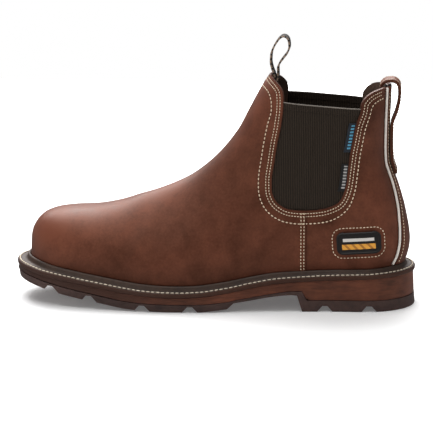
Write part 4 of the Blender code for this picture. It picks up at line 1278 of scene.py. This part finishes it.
def makeBadge():
    form, u, v = gridForm(*grids["badge"])
    halfLong, halfHigh, corner = badge["long"] / 2, badge["high"] / 2, badge["corner"]
    up = (2 * v - 1) * halfHigh
    into = np.maximum(np.abs(up) - (halfHigh - corner), 0)
    half = halfLong - corner + np.sqrt(np.maximum(corner ** 2 - into ** 2, 0))
    along = (2 * u - 1) * half
    gap = boxGap(along, up, halfLong, halfHigh, corner)
    ring = smoothRise(0.2 * mm, 0.6 * mm, gap)
    ring *= 1 - smoothRise(-0.3 * mm, 0.1 * mm, gap - badge["border"])
    inBand = np.abs(up - badge["bandUp"]) < badge["bandHalf"]
    inBand &= np.abs(along) < badge["bandReach"] * badge["long"]
    x, z = badgePlace(along, up)
    lift = badge["sit"] + badge["thickness"] + badge["raise"] * ring + badge["bandRaise"] * inBand
    point, normal = skinPoint(x, z, lateral, lift)
    lay(form, point)
    addUv(form, along / badge["long"] + 0.5, up / badge["high"] + 0.5)
    turnOutward(form)
    made = pieceFrom(form, "badge_plate", [badgeFinish], 0.35 * mm, 3,
                     badge["thickness"] + badge["sunk"])
    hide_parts("badge")


def makeTab(name, node, heights, finish):
    # woven tab at the gore's rear edge, its free end curling off the elastic
    form, u, v = gridForm(*grids["tab"])
    low, top = heights
    z = last["peakHeight"] * (low + (top - low) * v)
    x = goreLimits(z)[1] + tab["under"] - tab["width"] * (1 - u)
    lift = tab["lift"] + tab["curl"] * (1 - u) ** 2
    point, normal = skinPoint(x, z, lateral, lift - gore["recess"])
    lay(form, point)
    addUv(form, u, v)
    turnOutward(form)
    made = pieceFrom(form, name, [finish], 0.15 * mm, 2, tab["thickness"])
    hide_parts(node)


makeBadge()
makeTab("tab_upper", "gore_tab_upper", tab["upper"], tabBlue)
makeTab("tab_lower", "gore_tab_lower", tab["lower"], tabBlack)
print("badge and tabs made")

# Welt ring, midsole and tread
ringCount = 420


def closerAtEnds(count):
    # shares from 0 to 1 that crowd towards both ends
    return 0.5 - 0.5 * np.cos(np.linspace(0, math.pi, count))


def closedSection(heightAt, count):
    # the upper's outline at a height, evenly spaced: lateral toe to heel, back medial
    toe, heel = float(frontX(heightAt(toeX))), float(backX(heightAt(heelX)))
    x = toe + (heel - toe) * closerAtEnds(260)
    z = heightAt(x)
    sides = []
    for side in (lateral, medial):
        y = middleY(x) + side * halfWidth(x, z, side)
        y[0], y[-1] = middleY(x[0]), middleY(x[-1])
        sides.append(np.column_stack([x, y]))
    ring = np.vstack([sides[0], sides[1][-2:0:-1], sides[0][:1]])
    run = runOf(ring)
    return spotsAt(ring, run, np.linspace(0, run[-1], count, endpoint=False))


def ringNormals(ring):
    ahead = np.roll(ring, -2, axis=0) - np.roll(ring, 2, axis=0)
    ahead /= np.linalg.norm(ahead, axis=1, keepdims=True)
    return np.column_stack([ahead[:, 1], -ahead[:, 0]])


footRing = closedSection(footHeight, ringCount)
footOut = ringNormals(footRing)
rimRing = closedSection(rimTop, ringCount)
rimOut = ringNormals(rimRing)


def makeWelt():
    reach, thick, rimThick = sole["reach"], sole["weltThickness"], sole["rimThickness"]
    profile = [  # ring, distance outwards, height above the flange, share of the rim's height
        ("foot", 0.3 * mm, -thick, 0), ("foot", 5 * mm, -thick, 0),
        ("foot", reach - 0.5 * mm, -thick, 0),
        ("foot", reach - 0.1 * mm, -thick + 0.4 * mm, 0), ("foot", reach, -thick / 2, 0),
        ("foot", reach - 0.1 * mm, -0.9 * mm, 0), ("foot", reach - 0.45 * mm, -0.3 * mm, 0),
        ("foot", reach - 0.9 * mm, 0, 0), ("foot", reach - 1.5 * mm, -0.05 * mm, 0),
        ("foot", reach - 2.1 * mm, -0.30 * mm, 0), ("foot", reach - 2.7 * mm, -0.05 * mm, 0),
        ("foot", reach - 4.6 * mm, 0, 0), ("rim", rimThick + 0.9 * mm, 0.1 * mm, 0.05),
        ("rim", rimThick + 0.2 * mm, 0, 0.30), ("rim", rimThick - 0.1 * mm, 0, 0.70),
        ("rim", rimThick - 0.5 * mm, 0, 0.94), ("rim", rimThick * 0.45, 0, 1.03),
        ("rim", 0.55 * mm, 0, 0.98), ("rim", 0.25 * mm, 0, 0.80),
    ]
    form, u, v = gridForm(ringCount, len(profile))
    around = np.rint(u * ringCount).astype(int) % ringCount
    level = np.rint(v * len(profile)).astype(int) % len(profile)
    points = np.zeros((len(u), 3))
    for number, (kind, out, above, share) in enumerate(profile):
        ring, normal = (footRing, footOut) if kind == "foot" else (rimRing, rimOut)
        mine = level == number
        flat = ring[around[mine]] + normal[around[mine]] * out
        edge = footRing[around[mine]] + footOut[around[mine]] * reach * sole["heightAt"]
        z = flangeTop(edge[:, 0]) + above + rimHeight(edge[:, 0]) * share
        points[mine] = np.column_stack([flat, z])
    lay(form, points)
    weld(form)
    for face in form.faces:  # the cut edge takes the midsole's dark finish
        spot = face.calc_center_median()
        face.material_index = int(spot.z < float(flangeTop(spot.x)) - sole["edgeBelow"])
    made = pieceFrom(form, "welt_ring", [plain["weltLeather"], weltEdgeFinish])
    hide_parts("welt")


def sideLines():
    # the flange's lateral and medial edge from toe to heel, and both ends' places
    ring = footRing + footOut * sole["reach"]
    ring = np.roll(ring, -int(ring[:, 0].argmin()), axis=0)
    split = int(ring[:, 0].argmax())
    other = np.vstack([ring[split:], ring[:1]])[::-1]
    return ring[:split + 1], other, ring[:, 0].min(), ring[:, 0].max()


layerShape = [  # along the sole, foot of the midsole as a share of the stack
    (0.000, 0.820), (0.048, 0.736), (0.084, 0.664), (0.149, 0.527), (0.229, 0.380), (0.287, 0.270),
    (0.348, 0.225), (0.394, 0.210), (0.430, 0.207), (0.480, 0.214), (0.508, 0.240), (0.544, 0.280),
    (0.560, 0.324), (0.603, 0.400), (0.656, 0.502), (0.700, 0.556), (0.7135, 0.560), (0.726, 0.560),
    (0.738, 0.302), (0.790, 0.302), (0.880, 0.302), (0.941, 0.302), (1.000, 0.302),
]
layerShare = columnCurve(layerShape, 1)


midsole = {
    "clear": 0.3 * mm,  # from the tread below and the welt above
    "heelFrom": (0.55, 0.72),  # along the sole, where the heel's insets take over
    "breast": (0.7135, 0.726, 0.738),  # along, the heel's front face
    "stations": 150,
    "levels": [  # share of the layer's height, inset in mm at the forefoot and at the heel
        (0.0, 2.0, 2.1), (0.0, 0.9, 1.0), (0.05, 0.7, 0.8), (0.30, 0.8, 0.95), (0.60, 1.0, 1.2),
        (0.86, 1.25, 1.4), (0.95, 0.9, 1.2), (1.0, 1.1, 1.4), (1.0, 2.4, 2.6)],
}


def makeMidsole():
    levels, breast = midsole["levels"], np.array(midsole["breast"])
    stations = closerAtEnds(midsole["stations"])
    stations = stations[np.abs(stations[:, None] - breast).min(axis=1) > 0.004]
    stations = np.sort(np.r_[stations, breast])
    ringSize = 2 * len(levels)
    form, u, v = gridForm(len(stations) - 1, ringSize)
    station = np.rint(u * (len(stations) - 1)).astype(int)
    level = np.rint(v * ringSize).astype(int) % ringSize
    x0 = sole["length"] * (stations - 0.5)
    low = sole["stack"] * layerShare((x0 - 0.9 * mm) / sole["length"] + 0.5) + midsole["clear"]
    high = footHeight(x0) - midsole["clear"]
    heel = smoothRise(*midsole["heelFrom"], stations)
    near, far, toe, rearEnd = sideLines()
    at = toe + (rearEnd - toe) * stations
    right = np.interp(at, near[:, 0], near[:, 1])
    left = np.interp(at, far[:, 0], far[:, 1])
    middle = (right + left) / 2
    points = np.zeros((len(u), 3))
    for number, (share, front, rear) in enumerate(levels):
        inset = (front + (rear - front) * heel) * mm
        x = toe + inset + (rearEnd - toe - 2 * inset) * stations
        shrink = np.clip(1 - 2 * inset / np.maximum(left - right, 4 * mm), 0.05, 1)
        z = low + (high - low) * share
        for side, y in ((number, right), (ringSize - 1 - number, left)):
            mine = level == side
            k = station[mine]
            points[mine] = np.column_stack([x[k], (middle + (y - middle) * shrink)[k], z[k]])
    lay(form, points)
    bmesh.ops.remove_doubles(form, verts=form.verts, dist=0.002 * mm)
    bmesh.ops.dissolve_degenerate(form, edges=form.edges, dist=0.002 * mm)
    bmesh.ops.holes_fill(form, edges=[edge for edge in form.edges if edge.is_boundary], sides=0)
    bmesh.ops.recalc_face_normals(form, faces=form.faces)
    made = pieceFrom(form, "midsole_unit", [midsoleFinish])
    made.data.set_sharp_from_angle(angle=math.radians(40))
    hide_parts("midsole")


def copyNode(node, name, finish, soft=0.0):
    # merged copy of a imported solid, with soft edges and the scene's finish
    source = bpy.data.objects[node]
    form = bmesh.new()
    form.from_mesh(source.data)
    form.transform(source.matrix_world)
    weld(form)
    made = pieceFrom(form, name, [finish], soft, 2)
    made.data.set_sharp_from_angle(angle=math.radians(40))
    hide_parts(node)


makeWelt()
makeMidsole()
copyNode("outsole", "tread", plain["treadRubber"], 0.45 * mm)
copyNode("insole", "footbed", plain["insoleBoard"])
print("sole made")

# Threads: one capsule a stitch, laid along a path just above the surface
def makeStitches(name, points, normals, pitch, radius, finish, fill=0.70, sink=0.25):
    # fill: share of the pitch that the thread covers; sink: its lift as a share of its radius
    run = runOf(points)
    count = max(2, int(run[-1] / pitch))
    at = (np.arange(count) + 0.5) * run[-1] / count
    near = 0.3 * pitch
    place = spotsAt(points, run, at)
    ahead = spotsAt(points, run, at + near) - spotsAt(points, run, at - near)
    up = spotsAt(normals, run, at)
    seed = bmesh.new()
    bmesh.ops.create_uvsphere(seed, u_segments=6, v_segments=4, radius=1.0)
    bmesh.ops.rotate(seed, verts=seed.verts, matrix=Matrix.Rotation(math.pi / 2, 3, "Y"))
    single = bpy.data.meshes.new("seed")
    seed.to_mesh(single)
    seed.free()
    form = bmesh.new()
    for here, along, above in zip(place, ahead, up):
        along = Vector(along).normalized()
        above = Vector(above)
        above = (above - along * above.dot(along)).normalized()
        across = above.cross(along)
        turn = Matrix((along, across, above)).transposed().to_4x4()
        stretch = Matrix.Diagonal((pitch * fill / 2, radius, radius * 0.8, 1))
        spot = Vector(here) + above * radius * sink
        laid = single.copy()
        laid.transform(Matrix.Translation(spot) @ turn @ stretch)
        form.from_mesh(laid)
        bpy.data.meshes.remove(laid)
    bpy.data.meshes.remove(single)
    bmesh.ops.recalc_face_normals(form, faces=form.faces)
    return pieceFrom(form, name, [finish])


def stitchRow(name, flat, side, pitch, radius):
    x, z = flat[:, 0], flat[:, 1]
    point, normal = skinPoint(x, z, side, leatherLift(x, z))
    underTrim = halfWidth(x, z, side) < backHalf(z) + back["bead"] + stitch["trimClear"]
    shown = ~((x > backX(z) - stitch["trimReach"]) & underTrim)
    makeStitches(name, point[shown], normal[shown], pitch, radius, threadTan)


def makeUpperStitches(tag, side):
    for name, distance in zip(("inner", "second"), stitch["rows"]):
        row = openingRow(distance)
        stitchRow("stitch_%s_%s" % (name, tag), row, side, stitch["short"], stitch["thin"])
    stitchRow("stitch_outer_" + tag, outerRow, side, stitch["long"], stitch["thick"])
    top = openingLow - stitch["seamTop"]
    for number, x in enumerate(stitch["seamRows"]):
        z = np.linspace(float(rimTop(x)) + stitch["seamFoot"], top, 80)
        flat = np.column_stack([np.full(80, x), z])
        stitchRow("stitch_seam_%d_%s" % (number, tag), flat, side, stitch["seam"], stitch["radius"])


def makeBadgeStitches():
    halfLong = badge["long"] / 2 + badge["stitchAside"]
    halfHigh = badge["high"] / 2 + badge["stitchAbove"]
    corner = badge["stitchCorner"]
    points = []
    for cx, cz, start in ((1, 1, 0), (-1, 1, 90), (-1, -1, 180), (1, -1, 270)):
        for turn in np.radians(np.linspace(start, start + 90, 12)):
            points.append((cx * (halfLong - corner) + corner * math.cos(turn),
                           cz * (halfHigh - corner) + corner * math.sin(turn)))
    points.append(points[0])
    ring = walk(np.array(points), np.linspace(0, 1, 240))
    x, z = badgePlace(ring[:, 0], ring[:, 1])
    point, normal = skinPoint(x, z, lateral, leatherLift(x, z))
    makeStitches("stitch_badge", point, normal, stitch["short"] * 1.2, stitch["radius"],
                 threadTan)


def makeBackStitches(tag, side):
    z = np.linspace(backFoot + 2 * mm, collarBack - 5 * mm, 160)
    y = side * (backHalf(z) - back["stitchIn"])
    point, normal = backFrame(y, z, back["gap"] + back["thickness"] + back["stitchLift"])
    makeStitches("stitch_stay_" + tag, point, normal, stitch["seam"], stitch["thin"],
                 threadTan)


def makeStrapStitches(tag, side):
    off = sideways(strapLine)
    place = strapLine + off * strap["thickness"] / 2
    y = np.full(len(place), side * (strap["width"] / 2 - 2.0 * mm))
    points = np.column_stack([place[:, 0], y, place[:, 1]])
    normals = np.column_stack([off[:, 0], np.zeros(len(off)), off[:, 1]])
    makeStitches("stitch_strap_" + tag, points[4:-3], normals[4:-3], stitch["seam"], stitch["thin"],
                 threadTan)


def makeWeltStitches():
    ring = footRing + footOut * (sole["reach"] - stitch["weltInset"])
    ring = np.vstack([ring, ring[:1]])
    edge = footRing + footOut * sole["reach"] * sole["heightAt"]
    z = flangeTop(np.r_[edge[:, 0], edge[:1, 0]])
    points = np.column_stack([ring, z + 0.05 * mm])
    normals = np.tile((0.0, 0.0, 1.0), (len(points), 1))
    makeStitches("stitch_welt", points, normals, stitch["welt"], stitch["weltRadius"], threadWelt,
                 0.86, 0.3)


for tag, side in bothSides:
    makeUpperStitches(tag, side)
makeBadgeStitches()
for tag, side in bothSides:
    makeBackStitches(tag, side)
    makeStrapStitches(tag, side)
makeWeltStitches()
print("threads laid")


# Floor, light and camera
view = {
    "azimuth": 5.0, "elevation": 11.3, "distance": 1.8,
    "target": (1.39 * mm, 0.0, 63.87 * mm), "lens": 193.5,
}


def makeCamera():
    turn, rise = math.radians(view["azimuth"]), math.radians(view["elevation"])
    flat = math.cos(rise)
    back = Vector((math.sin(turn) * flat, -math.cos(turn) * flat, math.sin(rise)))
    lensData = bpy.data.cameras.new("camera")
    lensData.lens = view["lens"]
    lensData.sensor_width = 36
    lensData.clip_start, lensData.clip_end = 0.05, 60
    camera = bpy.data.objects.new("camera", lensData)
    camera.location = Vector(view["target"]) + back * view["distance"]
    camera.rotation_mode = "QUATERNION"
    camera.rotation_quaternion = (-back).to_track_quat("-Z", "Y")
    bpy.context.scene.collection.objects.link(camera)
    bpy.context.scene.camera = camera


floorLook = {
    "half": 1.2, "color": (0.93, 0.93, 0.93, 1), "glow": 0.12,
    "farGlow": 0.8, "growth": 1.5, "start": 0.45,  # whiter for the camera away from the boot
}


def makeFloor():
    form = bmesh.new()
    bmesh.ops.create_grid(form, x_segments=1, y_segments=1, size=floorLook["half"])
    bmesh.ops.translate(form, verts=form.verts, vec=(0, 0, -0.2 * mm))
    mesh = bpy.data.meshes.new("floor")
    form.to_mesh(mesh)
    form.free()
    finish, tree, shader = newFinish("floorWhite")
    shader.inputs["Base Color"].default_value = floorLook["color"]
    shader.inputs["Roughness"].default_value = 0.9
    shader.inputs["Specular IOR Level"].default_value = 0.1
    shader.inputs["Emission Color"].default_value = (1, 1, 1, 1)
    reach = tree.nodes.new("ShaderNodeVectorMath")
    reach.operation = "LENGTH"
    plug(tree, objectCoords(tree), reach.inputs[0])
    away = calc(tree, "MULTIPLY", reach.outputs["Value"], floorLook["growth"])
    away = calc(tree, "SUBTRACT", away, floorLook["start"], clamp=True)
    seen = tree.nodes.new("ShaderNodeLightPath").outputs["Is Camera Ray"]
    glow = calc(tree, "MULTIPLY", calc(tree, "MULTIPLY", away, seen), floorLook["farGlow"])
    plug(tree, calc(tree, "ADD", glow, floorLook["glow"]), shader.inputs["Emission Strength"])
    mesh.materials.append(finish)
    floor = bpy.data.objects.new("floor", mesh)
    floor.visible_glossy = False
    bpy.context.scene.collection.objects.link(floor)


lamps = [  # name, place, aim, size in metres, power in watts
    ("topBack", (-0.20, 0.90, 1.20), (-0.02, 0, 0.05), 1.4, 44),
    ("overhead", (-0.20, -0.30, 1.50), (0, 0, 0.05), 1.2, 12),
    ("frontLeft", (-1.5, -1.6, 0.9), (-0.02, 0, 0.08), 0.9, 4),
]
sky = {"seen": 1.0, "light": 0.22}


def makeLamps():
    for name, place, aim, size, power in lamps:
        light = bpy.data.lights.new(name, "AREA")
        light.shape = "SQUARE"
        light.size = size
        light.energy = power
        holder = bpy.data.objects.new(name, light)
        holder.location = place
        aim = Vector(aim) - Vector(place)
        holder.rotation_mode = "QUATERNION"
        holder.rotation_quaternion = aim.to_track_quat("-Z", "Y")
        bpy.context.scene.collection.objects.link(holder)
    world = bpy.data.worlds.new("studio")
    bpy.context.scene.world = world
    world.use_nodes = True
    tree = world.node_tree
    backdrop = tree.nodes["Background"]
    backdrop.inputs["Color"].default_value = (1, 1, 1, 1)
    seen = tree.nodes.new("ShaderNodeLightPath").outputs["Is Camera Ray"]
    strength = calc(tree, "MULTIPLY", seen, sky["seen"] - sky["light"])
    plug(tree, calc(tree, "ADD", strength, sky["light"]), backdrop.inputs["Strength"])
    bpy.context.scene.view_settings.view_transform = "Standard"


makeCamera()
makeFloor()
makeLamps()
print("camera, floor and light set")
